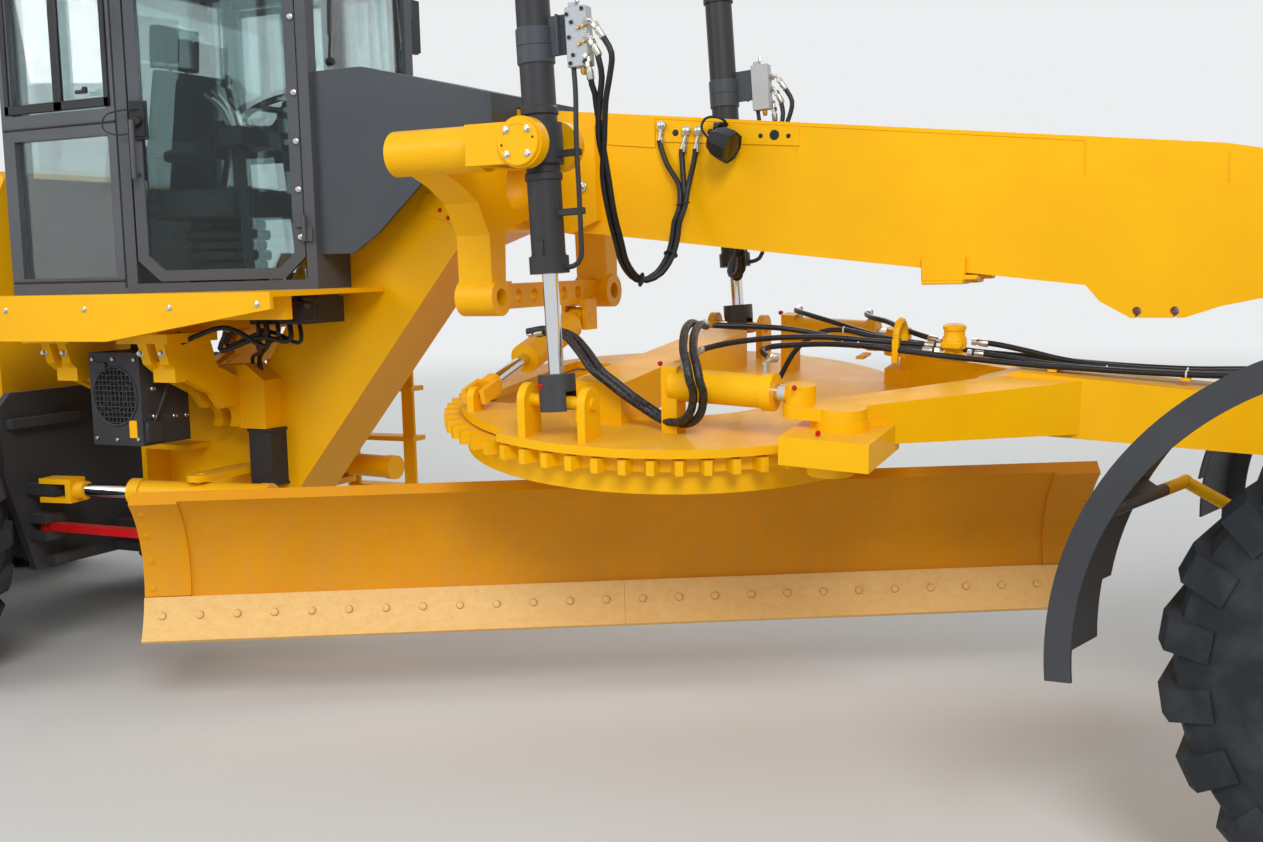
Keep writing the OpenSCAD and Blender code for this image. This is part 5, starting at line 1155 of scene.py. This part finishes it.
def lamp_and_mirror_set():
    """Lamps, beacon and mirrors in place of their plain solids."""
    bodies = Form("lamp_housings", "cab_plastic", 30)
    lenses = Form("lamp_lenses", "lamp_glass")
    reflectors = Form("lamp_reflectors", "zinc_plate")
    shells = Form("mirror_shells", "cab_plastic")
    glass = Form("mirror_glass", "hard_chrome")
    arms = Form("mirror_arms", "cab_plastic")
    for side in SIDES:
        side_lamps(side, (bodies, reflectors, lenses))
        side_mirror(side, shells, glass, arms)
    at = shifted(-5300, 0, 3350)
    beacon = Form("beacon", "amber_lens")
    beacon.turned([(48, 22), (50, 30), (48, 90), (40, 112), (20, 124)], at, 28)
    bodies.turned([(55, 0), (55, 18), (52, 23)], at, 28)
    slots = ((bodies, "dark_paint"), (lenses, "cab_glass"), (reflectors, "worn_steel"),
             (shells, "dark_paint"), (glass, "rod_chrome"), (arms, "dark_paint"), (beacon, "cab_glass"))
    for form, slot in slots:
        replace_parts(form.done("front_frame", slot), "lamps_and_mirrors")


COOLER_FAN = (-5080, 1290)
COOLER_BOLTS = ((-5200, 1450), (-4955, 1450), (-5200, 1105), (-4955, 1105), (-5080, 1452), (-5080, 1100))
COOLER_PORTS = ((-640, 1200), (-520, 1190), (-450, 1186), (-640, 1320))
STEP_BOLTS = ((-5480, 1672), (-5010, 1674), (-4538, 1676), (-4083, 1688))
# Both ends of each hose under the platform, as X and Y. The first two end lower, on the valve box
PLATFORM_HOSES = ((-4420, -520, -4700, -215), (-4390, -505, -4660, -215), (-4350, -480, -4640, -240),
                  (-4300, -470, -4560, -560), (-4280, -430, -4600, -480), (-4400, -500, -4780, -600))


def platform_bolts():
    """Bolts of the platform's edge and hangers, screws of the cooler's lid and its pipe ends."""
    bolts = Form("platform_bolts", "zinc_plate")
    for side in SIDES:
        for x, z in STEP_BOLTS:
            bolts.bolt(aimed((x, side * 900, z), (x, side * 950, z)), 9)
        for middle, dx in product((-5430, -4850), (-60, 60)):
            x = middle + dx
            bolts.bolt(aimed((x, side * 704, 1478), (x, side * 760, 1478)), 12)
    for x, z in COOLER_BOLTS:
        bolts.screw(aimed((x, -700, z), (x, -760, z)), 8)
    for y, z in COOLER_PORTS:
        bolts.turned([(10, 0), (10, 10), (6, 14), (6, 22)], aimed((-4930, y, z), (-4890, y, z)), 12)
    bolts.done("front_frame", "worn_steel")


def cooler_trim():
    """Fan guard's rings, the small boxes and the pipe of the cooler, and its blank plates."""
    x, z = COOLER_FAN
    trim = Form("cooler_trim", "dark_enamel")
    hoop(trim, (x, -702, z), (1, 0), 128, 5, count=40)
    for radius in (32, 62, 94):
        hoop(trim, (x, -703, z), (1, 0), radius, 2, count=30, sides=6)
    trim.block((-4934, -690, 1090), (-4912, -600, 1180))
    trim.block((-5180, -710, 1395), (-5120, -700, 1440), edge=3)
    trim.tube([(-4918, -640, 1180), (-4900, -600, 1280), (-4905, -540, 1400), (-4900, -500, 1520)], 8)
    trim.done("front_frame", "dark_paint")
    plates = Form("cooler_plate", "yellow_enamel")
    plates.block((-5006, -703, 1110), (-4962, -700, 1186), edge=1)
    plates.block((-4930, -640, 1092), (-4928, -600, 1140), edge=0.8)
    plates.done("front_frame", "yellow_paint")


def platform_hoses():
    """Six hoses that hang from the valves under the platform."""
    hoses = Form("platform_hoses", "hose_rubber")
    for i, (x0, y0, x1, y1) in enumerate(PLATFORM_HOSES):
        on_box = i < 2
        middle = ((x0 + x1) / 2 + 30, (y0 + y1) / 2 - 20, 1470 + 22 * i)
        before_end = (x1 - 20, y1 - 10, 1420 if on_box else 1440 + 14 * i)
        hoses.tube([(x0, y0, 1640), (x0 + 30, y0 - 30, 1560 - 12 * i), middle, before_end,
                    (x1, y1, 1290 if on_box else 1560)], 9 + (i % 2) * 2, sides=10)
    hoses.done("front_frame", "cab_trim")


def platform_details():
    """Bolts, hoses, the cooler's trim and the small boxes under the cab."""
    platform_bolts()
    cooler_trim()
    platform_hoses()
    ends = Form("box_hose_ends", "zinc_plate")
    for x in (-4700, -4660):
        ends.turned([(11, 0), (14, 6), (14, 60), (11, 66), (11, 150), (13, 154), (13, 186)],
                    shifted(x, -215, 1104), 14)
    ends.done("front_frame", "worn_steel")
    box = Form("valve_box_trim", "dark_enamel")
    for low, high in ((1094, 1108), (846, 858)):
        box.block((-4742, -266, low), (-4603, -144, high), edge=3)
    box.done("front_frame", "dark_paint")
    stack = Form("valve_stack", "cab_plastic")
    for i in range(6):
        x = -4450 + 48 * i
        stack.block((x - 20, -516, 1600), (x + 20, -500, 1690))
        stack.turned([(10, 0), (10, 22), (8, 24)], aimed((x, -516, 1630), (x, -560, 1630)), 6)
        stack.turned([(12, 0), (12, 16), (9, 24)], aimed((x, -516, 1668), (x, -560, 1668)), 10)
    stack.done("front_frame", "cab_trim")
    brackets = Form("platform_lamp_brackets", "dark_enamel")
    for side in SIDES:
        brackets.tube([(-4210, side * 520, 1712), (-4180, side * 540, 1660), (-4150, side * 560, 1640)], 9)
    brackets.done("front_frame", "dark_paint")


# Moldboard in the blade's frame: the centre and radius of its curve, and the spacing of the edge's bolts
CURVE_Y, CURVE_Z = -344.06, -731.94
CURVE_RADIUS = 430
EDGE_PITCH = 152.4
EDGE_BOLTS = 13


def on_moldboard(along, degrees, depth):
    """Frame on the moldboard's curve, with its Z axis out of the face."""
    return (AT_BLADE @ shifted(along, CURVE_Y, CURVE_Z) @ turned_about(X_AXIS, degrees)
            @ shifted(0, CURVE_RADIUS - depth, 0) @ turned_about(X_AXIS, 90))


def blade_details():
    """Plough bolts of the cutting edges and bolts of the moldboard's end plates."""
    heads = Form("edge_bolt_heads", "worn_edge_steel")
    for side in SIDES:
        for i in range(EDGE_BOLTS):
            at = on_moldboard(side * (i + 0.5) * EDGE_PITCH, -30, 25.5)
            heads.turned([(15.5, -6), (15.5, 1.5), (11, 5.5)], at, 20)
            heads.turned([(6.5, 5.5), (6, 6.8)], at, 4)
    heads.done("moldboard", "worn_steel")
    plates = Form("end_plate_bolts", "blade_enamel")
    for side in SIDES:
        for degrees in (-14, 2, 18, 34):
            at = on_moldboard(side * (EDGE_BOLTS * EDGE_PITCH - 34), degrees, 12)
            plates.turned([(14, 0), (13, 3), (8, 5)], at, 18)
    plates.done("moldboard", "yellow_paint")


make_camera()
make_stage()
dress_nodes()
for side, which in SIDES.items():
    lift_cylinder_details(side, which)
    lift_hoses(side, which)
    door_details(side, which)
beam_details()
for side, which in SIDES.items():
    yoke_covers(side, which)
drawbar_hoses()
swivel_block()
drawbar_trim()
cab_details()
operator_seat()
lamp_and_mirror_set()
platform_details()
blade_details()
